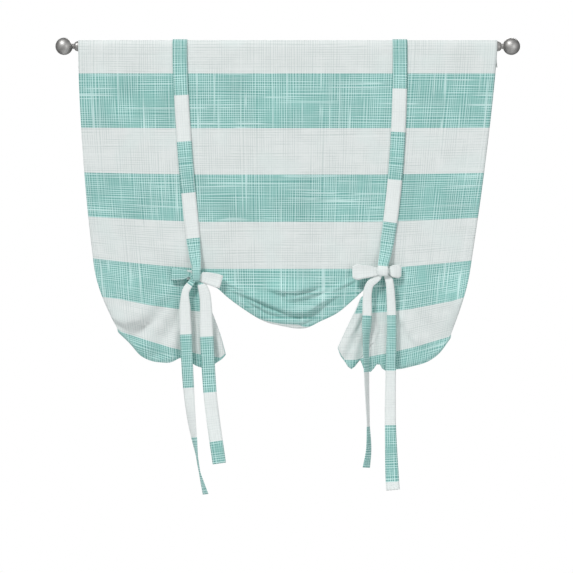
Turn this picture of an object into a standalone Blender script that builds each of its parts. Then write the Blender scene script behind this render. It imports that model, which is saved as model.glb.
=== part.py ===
"""Tie-up curtain: one striped linen-look panel on a rod, lifted by two pairs of ties.

Metres, +Z up, the front faces -Y. The origin lies on the rod's axis at mid-width.
Depth means distance below the rod's axis. Lateral means distance outward from mid-width.
"""

import math

import bmesh
import bpy
from mathutils import Vector

# Clearance that touching pieces keep
GAP = 0.0003

# Panel cloth
CLOTH_WIDTH = 1.067
CLOTH_THICKNESS = 0.0010
POCKET_DEPTH = 0.055
STRIPE_LENGTH = 0.120
TOP_STRIPE_ENDS = (0.070, 0.210, 0.328, 0.448, 0.568)

# Rod
ROD_RADIUS = 0.0127
ROD_WALL = 0.0010
ROD_SHOW = 0.0010

# Finials and the bushes that hold them
BALL_RADIUS = 0.0220
NECK_RADIUS = 0.0062
NECK_LENGTH = 0.0050
COLLAR_RADIUS = 0.0130
COLLAR_LENGTH = 0.0095
STUD_RADIUS = 0.0040
STUD_LENGTH = 0.0130
PLUG_LENGTH = 0.0160
ROUND_SEGMENTS = 24

# Ties and their bows
TIE_WIDTH = 0.037
TIE_THICKNESS = 0.0011
BAND_WIDTH = 0.016
KNOT_WIDTH = 0.021
PINCH_WIDTH = 0.012
LOOP_ROOT = 0.019
TAIL_STEP = 0.0024
BOW_LAYER = 0.004
TAIL_REST = 0.020
BACK_STAND = 0.044

# How the lower part hangs
TIE_DEPTH = TOP_STRIPE_ENDS[-1]
SIDE_LIFT_START = 0.200
SIDE_LIFT_CURVE = 1.3
PANEL_LEAN = 0.0018
SWAG_DROP = 0.151
WING_DROP = 0.250
WING_BILLOW = 0.018
BILLOW_REACH = 0.130
FLARE_SHARE = 0.07
FLARE_DETOUR = 0.010
FLARE_DEEPER = 0.20
ARRIVAL_SHARE = 0.8
TIGHT_LAYER_GAP = 0.0070
LOOSE_LAYER_GAP = 0.0125
SECOND_LAYER_TOP = 0.012
THIRD_LAYER_REACH = 0.86
FOURTH_LAYER_TOP = 0.32

# Colour fields follow the cloth: a stripe is this much longer or shorter where it is drawn out
WING_STRETCH = 0.875
SWAG_STRETCH = 1.136
SWAG_PLUMB = 0.5

# Swag folds: place between tie level and lower edge, width, depth toward the front, centre across
SWAG_FOLDS = (
    (0.40, 0.11, 0.0045, 0.62),
    (0.68, 0.13, 0.0075, 0.48),
    (0.90, 0.08, 0.0040, 0.42),
)

# Mesh fineness
BOTTOM_COLUMNS = 9
FLARE_COLUMNS = 6
FLARE_CROWDING = 1.9
SWAG_COLUMNS = 18
RIBBON_STEP = 0.005
RIBBON_MOST_STEPS = 4
POCKET_START = -12
POCKET_STEP = 22
POCKET_STEPS = 8

# Each side: -1 is left, +1 is right. Outlines run from the side edge along the wing's bottom and
# up the flare's inner edge to the knot, as shares of the wing's width from the knot and of its drop.
SIDES = {
    "left": {
        "sign": -1,
        "edge_pull": 0.038,
        "edge_curve": 1.6,
        "edge_lift": 0.027,
        "tie_top": 0.2745,
        "tie_curve": 1.6,
        "knot": Vector((0.2315, 0.0, -0.583)),
        "pass_under": (0.0165, 0.25, 0.20),
        "inner_loop": (0.061, -0.018, 0.024, 0.034),
        "outer_loop": (0.064, 0.001, 0.022, 0.032),
        "inner_tail": (
            (0.0280, 0.0150, 0.024, 0), (0.055, 0.0219, 0.029, 0), (0.153, 0.026, 0.034, 0),
            (0.293, 0.034, 0.034, 10), (0.365, 0.042, 0.034, 0), (0.478, 0.058, 0.034, 5),
        ),
        "outer_tail": (
            (0.041, -0.027, 0.019, 0), (0.087, -0.029, 0.028, 0), (0.148, -0.027, 0.030, 0),
            (0.286, -0.020, 0.030, 22), (0.370, -0.012, 0.030, 45), (0.412, -0.006, 0.030, 60),
            (0.459, 0.001, 0.030, 80), (0.500, 0.008, 0.030, 82), (0.556, 0.023, 0.030, 60),
        ),
        "bottom": (
            (0.760, 0.619), (0.551, 0.840), (0.440, 0.925), (0.354, 0.944), (0.268, 0.937),
            (0.145, 0.907), (0.000, 0.979), (-0.106, 0.994), (-0.193, 0.958), (-0.274, 0.866),
        ),
        "flare": (
            (-0.225, 0.671), (-0.163, 0.488), (-0.100, 0.320), (-0.055, 0.230), (-0.022, 0.168),
        ),
    },
    "right": {
        "sign": 1,
        "edge_pull": 0.066,
        "edge_curve": 1.2,
        "edge_lift": 0.0215,
        "tie_top": 0.2855,
        "tie_curve": 2.4,
        "knot": Vector((0.2410, 0.0, -0.5735)),
        "pass_under": (0.0402, 0.311, 0.255),
        "inner_loop": (0.075, -0.003, 0.020, 0.036),
        "outer_loop": (0.044, -0.002, 0.018, 0.031),
        "inner_tail": (
            (0.033, 0.032, 0.020, 0), (0.050, 0.038, 0.022, 0), (0.109, 0.040, 0.024, 0),
            (0.163, 0.042, 0.028, 50), (0.214, 0.042, 0.029, 61), (0.277, 0.041, 0.029, 64),
            (0.390, 0.037, 0.029, 75), (0.453, 0.036, 0.029, 62), (0.498, 0.042, 0.029, 50),
        ),
        "outer_tail": (
            (0.024, -0.016, 0.020, 0), (0.109, -0.022, 0.023, 0), (0.252, -0.020, 0.026, 0),
            (0.379, -0.019, 0.028, 0), (0.529, -0.024, 0.034, 0), (0.555, -0.026, 0.035, 0),
        ),
        "bottom": (
            (0.764, 0.677), (0.628, 0.853), (0.456, 0.944), (0.284, 0.989), (0.154, 1.016),
            (0.030, 1.025), (-0.048, 0.964), (-0.127, 1.040), (-0.194, 1.030), (-0.262, 0.930),
            (-0.333, 1.016), (-0.419, 0.957), (-0.498, 0.801),
        ),
        "flare": (
            (-0.404, 0.606), (-0.290, 0.384), (-0.245, 0.290), (-0.195, 0.258),
            (-0.145, 0.238), (-0.108, 0.185),
        ),
    },
}

# Lower edge of the swag: share of the way from the left knot to the right, share of the swag's drop
SWAG_EDGE = (
    (0.022, 0.241), (0.066, 0.265), (0.108, 0.320), (0.170, 0.487), (0.267, 0.707), (0.346, 0.850),
    (0.405, 0.917), (0.489, 0.978), (0.560, 1.000), (0.600, 0.980), (0.660, 0.887), (0.758, 0.737),
    (0.841, 0.523), (0.896, 0.363), (0.929, 0.287),
)


def clear_scene():
    """Empty the scene of objects."""
    for item in list(bpy.data.objects):
        bpy.data.objects.remove(item, do_unlink=True)


def make_material(name, colour, roughness, metallic=0.0):
    """One Principled material."""
    material = bpy.data.materials.new(name)
    material.use_nodes = True
    shader = material.node_tree.nodes["Principled BSDF"]
    shader.inputs["Base Color"].default_value = (*colour, 1.0)
    shader.inputs["Roughness"].default_value = roughness
    shader.inputs["Metallic"].default_value = metallic
    material.diffuse_color = (*colour, 1.0)
    return material


def add_object(name, mesh, materials):
    """Link a mesh as a named object with its materials."""
    item = bpy.data.objects.new(name, mesh)
    bpy.context.scene.collection.objects.link(item)
    for material in materials:
        mesh.materials.append(material)
    return item


def between(before, start, end, after, share):
    """A point between start and end on the smooth curve that also heeds their neighbours.

    Knots are spaced by the root of the distance, so uneven spans make no overshoot.
    """
    knots = [0.0]
    for first, second in ((before, start), (start, end), (end, after)):
        knots.append(knots[-1] + (second - first).length ** 0.5)
    t0, t1, t2, t3 = knots
    t = t1 + (t2 - t1) * share
    a1 = before.lerp(start, (t - t0) / (t1 - t0))
    a2 = start.lerp(end, (t - t1) / (t2 - t1))
    a3 = end.lerp(after, (t - t2) / (t3 - t2))
    b1 = a1.lerp(a2, (t - t0) / (t2 - t0))
    b2 = a2.lerp(a3, (t - t1) / (t3 - t1))
    return b1.lerp(b2, (t - t1) / (t2 - t1))


def smooth_path(points, steps):
    """Points along a smooth curve through the given ones, with so many steps between two."""
    ends = [points[0] * 2 - points[1]] + list(points) + [points[-1] * 2 - points[-2]]
    path = []
    for before, start, end, after in zip(ends, ends[1:], ends[2:], ends[3:]):
        path += [between(before, start, end, after, step / steps) for step in range(steps)]
    path.append(Vector(points[-1]))
    return path


def spaced(points, count, crowding=1.0):
    """Points along the smooth curve through the given ones, crowded toward its end above 1."""
    path = smooth_path(points, 12)
    reach = [0.0]
    for start, end in zip(path, path[1:]):
        reach.append(reach[-1] + (end - start).length)
    result = []
    index = 0
    for step in range(count + 1):
        target = reach[-1] * (1 - (1 - step / count) ** crowding)
        while index < len(path) - 2 and reach[index + 1] < target:
            index += 1
        share = (target - reach[index]) / (reach[index + 1] - reach[index])
        result.append(path[index].lerp(path[index + 1], share))
    return result


def side_of(lateral_x):
    """The side's settings for a place left or right of mid-width."""
    return SIDES["left"] if lateral_x < 0 else SIDES["right"]


def edge_lateral(side, depth):
    """Half-width of the panel at a depth: the ties draw the side edges inward."""
    share = max(depth, 0.0) / TIE_DEPTH
    return CLOTH_WIDTH / 2 - side["edge_pull"] * share ** side["edge_curve"]


def row_lift(side, share_of_depth, x):
    """How far the cloth outside the ties is lifted, which curves the stripes."""
    reach = max(0.0, abs(x) - SIDE_LIFT_START) / (edge_lateral(side, TIE_DEPTH) - SIDE_LIFT_START)
    return side["edge_lift"] * share_of_depth ** 3 * reach ** SIDE_LIFT_CURVE


def front_y(depth):
    """Where the hanging front of the panel lies at a depth."""
    middle = ROD_RADIUS + GAP + CLOTH_THICKNESS / 2
    return -middle - PANEL_LEAN * min(max(depth, 0.0) / TIE_DEPTH, 1.0)


def panel_point(x_at_tie, depth):
    """A point of the flat upper panel, given where its column meets the tie level."""
    side = side_of(x_at_tie)
    x = x_at_tie * edge_lateral(side, depth) / edge_lateral(side, TIE_DEPTH)
    lift = row_lift(side, depth / TIE_DEPTH, x_at_tie)
    return Vector((x, front_y(depth), lift - depth))


def wing_columns(side):
    """Columns of one wing from its side edge to the knot: x at tie level, lowest point, openness."""
    knot = side["knot"].x
    edge = edge_lateral(side, TIE_DEPTH)
    width = edge - knot

    def place(pair):
        return Vector((side["sign"] * (knot + pair[0] * width), 0.0, -TIE_DEPTH - pair[1] * WING_DROP))

    bottom = spaced([place(pair) for pair in side["bottom"]], BOTTOM_COLUMNS)
    flare = spaced([bottom[-1]] + [place(pair) for pair in side["flare"]], FLARE_COLUMNS, FLARE_CROWDING)
    columns = []
    for index, low in enumerate(bottom):
        share = (1 - FLARE_SHARE) * index / BOTTOM_COLUMNS
        open_share = min(1.0, 1.5 * (1 - index / BOTTOM_COLUMNS))
        columns.append((side["sign"] * (edge - share * width), low, open_share, WING_STRETCH, 0.0))
    for index, low in enumerate(flare[1:], start=1):
        toward_knot = index / FLARE_COLUMNS
        share = 1 - FLARE_SHARE * (1 - toward_knot)
        columns.append((side["sign"] * (edge - share * width), low, 0.0, WING_STRETCH, toward_knot))
    return columns


def swag_columns(start, end):
    """Columns of the swag between the two knots, from one wing's last low point to the other's."""
    left_x = -SIDES["left"]["knot"].x
    span = SIDES["right"]["knot"].x - left_x
    drop = [Vector((left_x + span * across, 0.0, -TIE_DEPTH - down * SWAG_DROP))
            for across, down in SWAG_EDGE]
    lows = spaced([start] + drop + [end], SWAG_COLUMNS)
    columns = []
    for index, low in enumerate(lows[1:-1], start=1):
        across = index / SWAG_COLUMNS
        open_share = 0.6 * math.sin(math.pi * across)
        x_at_tie = (left_x + span * across) * (1 - SWAG_PLUMB) + low.x * SWAG_PLUMB
        columns.append((x_at_tie, low, open_share, SWAG_STRETCH, 0.0))
    return columns


def inward(lows, index):
    """Direction into the cloth at a point of the lower outline."""
    ahead = lows[min(index + 1, len(lows) - 1)]
    behind = lows[max(index - 1, 0)]
    along = (ahead - behind).normalized()
    return Vector((-along.z, 0.0, along.x))


def swag_relief(across, down):
    """How far the swag's folds stand toward the front at a place."""
    relief = 0.0
    for place, width, depth, centre in SWAG_FOLDS:
        offset = abs(down - place) / width
        if offset < 1:
            reach = max(0.0, 1 - (2 * (across - centre)) ** 2)
            relief += depth * reach * math.cos(offset * math.pi / 2) ** 2
    return relief


def wing_billow(side, x):
    """How far a wing stands out toward the front, growing outward from the bow's tails."""
    share = (abs(x) - side["knot"].x - TIE_WIDTH) / BILLOW_REACH
    return WING_BILLOW * min(max(share, 0.0), 1.0)


def arch(share):
    """Zero at both ends of a column and one in the middle, starting and ending flat."""
    return math.sin(math.pi * share) ** 2


def column_shares(length, stretch):
    """Row places down the front layer: rows meet the stripes' ends wherever they show."""
    first = min(STRIPE_LENGTH * stretch / length, 0.90)
    second = min(2 * STRIPE_LENGTH * stretch / length, first + 0.6 * (1 - first))
    shares = [first * step / 11 for step in range(11)]
    shares += [first + (second - first) * step / 3 for step in range(3)]
    shares += [second + (1 - second) * step / 3 for step in range(4)]
    return shares


def bend(start, control, end, share):
    """A point on the curve from start to end that is drawn toward control."""
    return start * (1 - share) ** 2 + control * (2 * share * (1 - share)) + end * share ** 2


def half_turn(centre, outward, front, radius):
    """Two points round a fold: outward is its crest's direction, front is -1 or +1 along Y."""
    points = []
    for angle in (math.radians(50), math.radians(130)):
        offset = Vector((0.0, front * radius * math.cos(angle), 0.0))
        points.append(centre + offset + outward * (radius * math.sin(angle)))
    return points


def lower_column(x_at_tie, low, open_share, stretch, toward_knot, into, across):
    """The lower part of one column: front layer, then three layers folded up and down behind it."""
    side = side_of(x_at_tie)
    top = panel_point(x_at_tie, TIE_DEPTH)
    gap = TIGHT_LAYER_GAP + (LOOSE_LAYER_GAP - TIGHT_LAYER_GAP) * open_share
    is_wing = across is None
    low_y = top.y - 0.6 * wing_billow(side, low.x) if is_wing else top.y
    radius = gap / 2
    drop = (top - low).length
    slope = -(panel_point(x_at_tie, TIE_DEPTH).x - panel_point(x_at_tie, TIE_DEPTH - 0.05).x) / 0.05
    control = top + Vector((-slope * 0.5 * drop, 0.0, -0.5 * drop))
    if toward_knot:
        control.x += side["sign"] * FLARE_DETOUR * 4 * toward_knot * (1 - toward_knot)
        control.z = top.z - (0.5 + FLARE_DEEPER * toward_knot) * drop

    arrival = (low - control).normalized()
    outward = (arrival * ARRIVAL_SHARE - into * (1 - ARRIVAL_SHARE)).normalized()
    outward.y = 0.0
    end = low - outward * radius
    end.y = low_y

    samples = [bend(top, control, end, step / 16) for step in range(17)]
    length = sum((b - a).length for a, b in zip(samples, samples[1:]))
    points = []
    cloth = []
    for share in column_shares(length, stretch):
        point = bend(top, control, end, share)
        relief = swag_relief(across, share) if across else wing_billow(side, point.x) * arch(share)
        point.y = top.y + (low_y - top.y) * share - relief
        points.append(point)
        cloth.append(TIE_DEPTH + share * length / stretch)

    def behind(share, y):
        """A place on the same route down the column, in a layer further back."""
        place = bend(top, control, end, share)
        return Vector((place.x, y, place.z))

    second_top = SECOND_LAYER_TOP / max(drop, 2 * SECOND_LAYER_TOP)
    layers = [top.y + gap * number for number in (1, 2, 3)]
    points += half_turn(behind(1.0, low_y + radius), outward, -1, radius)
    points.append(behind(1.0, low_y + gap))
    points += [behind(0.7, layers[0]), behind(0.4, layers[0]), behind(second_top, layers[0])]
    points += half_turn(behind(second_top, layers[0] + radius), Vector((0.0, 0.0, 1.0)), -1, radius)
    points += [behind(second_top, layers[1]), behind(0.45, layers[1])]
    points.append(behind(THIRD_LAYER_REACH, layers[1]))
    points += half_turn(behind(THIRD_LAYER_REACH, layers[1] + radius), outward, -1, radius)
    points += [behind(THIRD_LAYER_REACH, layers[2]), behind(0.6, layers[2])]
    points.append(behind(FOURTH_LAYER_TOP, layers[2]))
    cloth_end = cloth[-1]
    for previous, point in zip(points[len(cloth) - 1:], points[len(cloth):]):
        cloth_end += (point - previous).length
        cloth.append(cloth_end)
    return points, cloth


def upper_column(x_at_tie):
    """The rod pocket from its seam at the back over the rod, then the flat front."""
    radius = ROD_RADIUS + GAP + CLOTH_THICKNESS / 2
    side = side_of(x_at_tie)
    seam_y = front_y(POCKET_DEPTH) + CLOTH_THICKNESS + GAP
    profile = [(seam_y, -POCKET_DEPTH, -0.16)]
    profile.append((radius * 0.72, -0.45 * POCKET_DEPTH, -0.13))
    half_step = math.radians(POCKET_STEP / 2)
    for step in range(POCKET_STEPS + 1):
        angle = math.radians(POCKET_START + step * POCKET_STEP)
        reach = radius / math.cos(half_step)
        profile.append((reach * math.cos(angle), reach * math.sin(angle), -0.10 + 0.010 * step))
    points = []
    cloth = []
    x_top = x_at_tie * (CLOTH_WIDTH / 2) / edge_lateral(side, TIE_DEPTH)
    for y, z, along in profile:
        points.append(Vector((x_top, y, z)))
        cloth.append(along)
    stops = [0.5 * TOP_STRIPE_ENDS[0]]
    for start, end in zip(TOP_STRIPE_ENDS, TOP_STRIPE_ENDS[1:]):
        stops += [start, (start + end) / 2]
    for depth in stops:
        points.append(panel_point(x_at_tie, depth))
        cloth.append(depth)
    return points, cloth


def stripe_number(cloth):
    """Count of stripe ends passed at a place along the cloth."""
    if cloth < TIE_DEPTH:
        return sum(1 for end in TOP_STRIPE_ENDS if cloth > end)
    return len(TOP_STRIPE_ENDS) + int((cloth - TIE_DEPTH) / STRIPE_LENGTH)


def make_panel(white, teal):
    """The curtain cloth: a grid of columns, given its thickness."""
    left = wing_columns(SIDES["left"])
    right = wing_columns(SIDES["right"])[::-1]
    middle = swag_columns(left[-1][1], right[0][1])
    columns = left + middle + right
    lows = [column[1] for column in columns]

    mesh = bmesh.new()
    grid = []
    lengths = []
    for index, column in enumerate(columns):
        in_swag = len(left) <= index < len(left) + len(middle)
        across = (index - len(left) + 1) / SWAG_COLUMNS if in_swag else None
        upper, upper_cloth = upper_column(column[0])
        lower, lower_cloth = lower_column(*column, inward(lows, index), across)
        grid.append([mesh.verts.new(point) for point in upper + lower])
        lengths.append(upper_cloth + lower_cloth)
    for column in range(len(grid) - 1):
        for row in range(len(grid[0]) - 1):
            corners = (
                grid[column][row], grid[column][row + 1],
                grid[column + 1][row + 1], grid[column + 1][row],
            )
            face = mesh.faces.new(corners)
            face.smooth = True
            cloth = sum(lengths[column + i][row + j] for i in (0, 1) for j in (0, 1)) / 4
            face.material_index = stripe_number(cloth) % 2
    bmesh.ops.triangulate(mesh, faces=mesh.faces)
    data = bpy.data.meshes.new("curtain_panel")
    mesh.to_mesh(data)
    mesh.free()
    panel = add_object("curtain_panel", data, (white, teal))
    solid = panel.modifiers.new("Cloth thickness", "SOLIDIFY")
    solid.thickness = CLOTH_THICKNESS
    solid.offset = 0.0
    return panel


def smooth_stations(stations):
    """A tie's stations with points added where the spans are long."""
    spots = [Vector(station[0]) for station in stations]
    ends = [spots[0] * 2 - spots[1]] + spots + [spots[-1] * 2 - spots[-2]]
    centres, acrosses, widths = [], [], []
    for index, (station, following) in enumerate(zip(stations, stations[1:])):
        span = (spots[index + 1] - spots[index]).length
        steps = min(max(round(span / RIBBON_STEP), 1), RIBBON_MOST_STEPS)
        for step in range(steps):
            share = step / steps
            centres.append(between(*ends[index:index + 4], share))
            acrosses.append(Vector(station[1]).lerp(Vector(following[1]), share))
            widths.append(station[2] + (following[2] - station[2]) * share)
    centres.append(spots[-1])
    acrosses.append(Vector(stations[-1][1]))
    widths.append(stations[-1][2])
    return centres, acrosses, widths


def make_ribbon(name, stations, materials):
    """A flat tie along stations of (centre, direction across, width)."""
    centres, acrosses, widths = smooth_stations(stations)
    mesh = bmesh.new()
    rings = []
    length = 0.0
    lengths = []
    for index, centre in enumerate(centres):
        ahead = centres[min(index + 1, len(centres) - 1)]
        behind = centres[max(index - 1, 0)]
        along = (ahead - behind).normalized()
        across = acrosses[index]
        across = (across - along * across.dot(along)).normalized()
        normal = along.cross(across)
        half = across * (widths[index] / 2)
        face = normal * (TIE_THICKNESS / 2)
        corners = (centre - half - face, centre + half - face, centre + half + face, centre - half + face)
        rings.append([mesh.verts.new(corner) for corner in corners])
        length += (centre - behind).length if index else 0.0
        lengths.append(length)
    for index, (ring, after) in enumerate(zip(rings, rings[1:])):
        faces = (
            (ring[0], ring[1], after[1]), (ring[0], after[1], after[0]),
            (ring[2], ring[3], after[2]), (ring[3], after[3], after[2]),
            (ring[1], ring[2], after[2], after[1]), (ring[3], ring[0], after[0], after[3]),
        )
        for corners in faces:
            face = mesh.faces.new(corners)
            face.material_index = int((lengths[index] + 0.02) / STRIPE_LENGTH) % 2
    mesh.faces.new(rings[0][::-1])
    mesh.faces.new(rings[-1])
    bmesh.ops.recalc_face_normals(mesh, faces=mesh.faces)
    data = bpy.data.meshes.new(name)
    mesh.to_mesh(data)
    mesh.free()
    return add_object(name, data, materials)


def tie_lateral(side, depth):
    """Centre of the tie's straight run at a depth: the knot draws it inward."""
    share = min(depth / TIE_DEPTH, 1.0)
    return side["tie_top"] + (side["knot"].x - side["tie_top"]) * share ** side["tie_curve"]


def loop_stations(side, loop, outward, out_y, back_y):
    """One loop of the bow: out from the knot, round its end and back to the knot."""
    knot = side["knot"]
    reach, rise, root_width, end_width = loop
    across = Vector((outward * rise / reach, 0.0, -1.0)).normalized() * outward
    front = min(out_y, back_y) - 0.5 * BOW_LAYER
    rear = max(out_y, back_y)
    out_end, back_end = (front, rear) if out_y < back_y else (rear, front)
    root = LOOP_ROOT / reach
    middle = 0.5 * (root + 0.94)
    middle_width = 0.5 * (root_width + end_width)
    places = (
        (root, out_y, root_width), (middle, out_end, middle_width), (0.94, out_end, end_width),
        (1.0, 0.5 * (out_end + back_end), end_width),
        (0.94, back_end, end_width), (middle, back_end, middle_width), (root, back_y, PINCH_WIDTH),
    )
    return [
        ((knot.x + outward * reach * share, y, knot.z + rise * share), across, width)
        for share, y, width in places
    ]


def turn_down(knot, outward, y):
    """The quarter turn in which a loop's end becomes a tail, just in front of the loop."""
    level = Vector((1.0, 0.0, 0.0))
    return [
        ((knot.x + outward * 0.0125, y, knot.z - 0.0025), Vector((0.6, 0.0, -0.8 * outward)), PINCH_WIDTH),
        ((knot.x + outward * 0.0095, y - 0.6 * TAIL_STEP, knot.z - 0.0090), level, PINCH_WIDTH),
        ((knot.x + outward * 0.0115, y - TAIL_STEP, knot.z - 0.0160), level, BAND_WIDTH),
    ]


def tail_stations(side, tail, start_y):
    """A tail hanging from the knot: drop, shift toward mid-width, width and turn in degrees."""
    knot = side["knot"]
    rest_y = front_y(TIE_DEPTH) - TAIL_REST
    start_y -= TAIL_STEP
    stations = []
    for drop, shift, width, turn in tail:
        angle = math.radians(turn)
        across = Vector((math.cos(angle), math.sin(angle), 0.0))
        y = start_y + (rest_y - start_y) * min(drop / 0.06, 1.0)
        stations.append(((knot.x - shift, y, knot.z - drop), across, width))
    return stations


def front_tie_stations(side):
    """Over the pocket, down the front, over the knot and under it, inner loop, inner tail."""
    knot = side["knot"]
    level = Vector((1.0, 0.0, 0.0))
    face = front_y(TIE_DEPTH) - 2 * BOW_LAYER
    band_y, out_y, back_y = (face - BOW_LAYER * step for step in (4, 3, 2))
    wrap = (ROD_RADIUS + GAP + CLOTH_THICKNESS) / math.cos(math.radians(POCKET_STEP / 2))
    wrap += 2 * GAP + TIE_THICKNESS / 2
    stations = []
    for degrees in range(20, 181, 20):
        angle = math.radians(degrees)
        place = (side["tie_top"], wrap * math.cos(angle), wrap * math.sin(angle))
        stations.append((place, level, TIE_WIDTH))
    lie = CLOTH_THICKNESS / 2 + TIE_THICKNESS / 2 + 3 * GAP
    for depth, stand, width in (
        (0.06, 0, TIE_WIDTH), (0.18, 0, TIE_WIDTH), (0.30, 0, TIE_WIDTH), (0.42, 0, TIE_WIDTH),
        (0.49, 0.002, 0.035), (0.53, 0.010, 0.030),
    ):
        place = (tie_lateral(side, depth), front_y(depth) - lie - stand, -depth)
        stations.append((place, level, width))
    stations += [
        ((knot.x, band_y, knot.z + 0.017), level, 0.024),
        ((knot.x, band_y, knot.z), level, KNOT_WIDTH),
        ((knot.x, band_y, knot.z - 0.012), level, KNOT_WIDTH),
        ((knot.x, (band_y + out_y) / 2, knot.z - 0.0155), level, BAND_WIDTH),
        ((knot.x, out_y, knot.z - 0.012), level, PINCH_WIDTH),
        ((knot.x, out_y, knot.z - 0.005), level, PINCH_WIDTH),
        ((knot.x - 0.0023, out_y, knot.z + 0.001), Vector((0.7, 0.0, 0.7)), PINCH_WIDTH),
        ((knot.x - 0.008, out_y, knot.z + 0.003), Vector((0.0, 0.0, 1.0)), PINCH_WIDTH),
    ]
    stations += loop_stations(side, side["inner_loop"], -1, out_y, back_y)
    stations += turn_down(knot, -1, back_y)
    return stations + tail_stations(side, side["inner_tail"], back_y)


def back_tie_stations(side):
    """Down the back, under the gathered cloth, up behind the knot, outer loop, outer tail."""
    knot = side["knot"]
    level = Vector((1.0, 0.0, 0.0))
    face = front_y(TIE_DEPTH) - 2 * BOW_LAYER
    back_y, out_y = face - BOW_LAYER, face
    inset, swag_share, wing_share = side["pass_under"]
    under = -TIE_DEPTH - 0.5 * (swag_share * SWAG_DROP + wing_share * WING_DROP)
    under_x = knot.x - inset
    start = POCKET_DEPTH + 0.005
    start_y = front_y(start) + CLOTH_THICKNESS / 2 + TIE_THICKNESS / 2 + GAP
    rear_y = front_y(TIE_DEPTH) + BACK_STAND
    stations = []
    for share in (0.0, 0.25, 0.5, 0.75, 1.0):
        depth = start + (TIE_DEPTH - start) * share
        place = (tie_lateral(side, depth), start_y + (rear_y - start_y) * share, -depth)
        stations.append((place, level, TIE_WIDTH if share < 1 else 0.030))
    stations += [
        ((under_x + 0.004, rear_y, under + 0.020), level, BAND_WIDTH),
        ((under_x, rear_y - 0.006, under + 0.002), level, PINCH_WIDTH),
        ((under_x, front_y(TIE_DEPTH) + 0.5 * BACK_STAND, under), level, PINCH_WIDTH),
        ((under_x, front_y(TIE_DEPTH), under), level, PINCH_WIDTH),
        ((under_x, out_y, under + 0.006), level, PINCH_WIDTH),
        ((knot.x - 0.010, out_y, knot.z - 0.013), Vector((1.0, 0.0, -0.2)), PINCH_WIDTH),
        ((knot.x - 0.0065, out_y, knot.z - 0.005), Vector((0.7, 0.0, -0.7)), PINCH_WIDTH),
        ((knot.x, out_y, knot.z - 0.002), Vector((0.0, 0.0, -1.0)), PINCH_WIDTH),
    ]
    stations += loop_stations(side, side["outer_loop"], 1, out_y, back_y)
    stations += turn_down(knot, 1, back_y)
    return stations + tail_stations(side, side["outer_tail"], back_y)


def mirror_stations(stations, sign):
    """Stations given as laterals, placed on the left or the right."""
    placed = []
    for centre, across, width in stations:
        x, y, z = centre
        placed.append(((sign * x, y, z), Vector((sign * across[0], across[1], across[2])), width))
    return placed


def turned(name, profile, material, sign=1):
    """A piece turned about the X axis from (lateral, radius) points, closed where radius is zero."""
    mesh = bmesh.new()
    rings = []
    for lateral, radius in profile:
        if radius == 0:
            rings.append([mesh.verts.new((sign * lateral, 0.0, 0.0))])
            continue
        ring = []
        for step in range(ROUND_SEGMENTS):
            angle = 2 * math.pi * step / ROUND_SEGMENTS
            ring.append(mesh.verts.new((sign * lateral, radius * math.sin(angle), radius * math.cos(angle))))
        rings.append(ring)
    pairs = list(zip(rings, rings[1:]))
    if profile[0][1] and profile[-1][1]:
        pairs.append((rings[-1], rings[0]))
    for ring, after in pairs:
        for step in range(ROUND_SEGMENTS):
            beside = (step + 1) % ROUND_SEGMENTS
            if len(ring) == 1:
                mesh.faces.new((ring[0], after[beside], after[step]))
            elif len(after) == 1:
                mesh.faces.new((ring[step], ring[beside], after[0]))
            else:
                mesh.faces.new((ring[step], ring[beside], after[beside], after[step]))
    bmesh.ops.recalc_face_normals(mesh, faces=mesh.faces)
    data = bpy.data.meshes.new(name)
    mesh.to_mesh(data)
    mesh.free()
    data.shade_smooth()
    data.set_sharp_from_angle(angle=math.radians(35))
    return add_object(name, data, (material,))


def make_rod(metal):
    """The tube that the pocket slides over."""
    half = CLOTH_WIDTH / 2 + ROD_SHOW
    inner = ROD_RADIUS - ROD_WALL
    profile = ((-half, inner), (-half, ROD_RADIUS), (half, ROD_RADIUS), (half, inner))
    return turned("rod_tube", profile, metal)


def make_end_plug(name, sign, plastic):
    """The bush in one end of the tube, bored for the finial's stud."""
    end = CLOTH_WIDTH / 2 + ROD_SHOW
    outer = ROD_RADIUS - ROD_WALL - GAP
    bore = STUD_RADIUS + GAP
    profile = ((end - PLUG_LENGTH, bore), (end - PLUG_LENGTH, outer), (end, outer), (end, bore))
    return turned(name, profile, plastic, sign)


def make_finial(name, sign, metal):
    """Ball, neck, flared collar and stud, turned as one piece."""
    start = CLOTH_WIDTH / 2 + ROD_SHOW + GAP
    neck = start + COLLAR_LENGTH
    ball_centre = neck + NECK_LENGTH + math.sqrt(BALL_RADIUS ** 2 - NECK_RADIUS ** 2)
    lip = 0.0016
    profile = [(start - STUD_LENGTH, 0), (start - STUD_LENGTH, STUD_RADIUS), (start, STUD_RADIUS)]
    profile += [(start, COLLAR_RADIUS), (start + lip, COLLAR_RADIUS)]
    for step in range(1, 5):
        share = step / 4
        radius = NECK_RADIUS + (COLLAR_RADIUS - NECK_RADIUS) * 0.8 * (1 - share) ** 1.6
        profile.append((start + lip + (COLLAR_LENGTH - lip) * share, radius))
    first = math.pi - math.asin(NECK_RADIUS / BALL_RADIUS)
    for step in range(9):
        angle = first * (1 - step / 9)
        profile.append((ball_centre + BALL_RADIUS * math.cos(angle), BALL_RADIUS * math.sin(angle)))
    profile.append((ball_centre + BALL_RADIUS, 0))
    return turned(name, profile, metal, sign)


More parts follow.
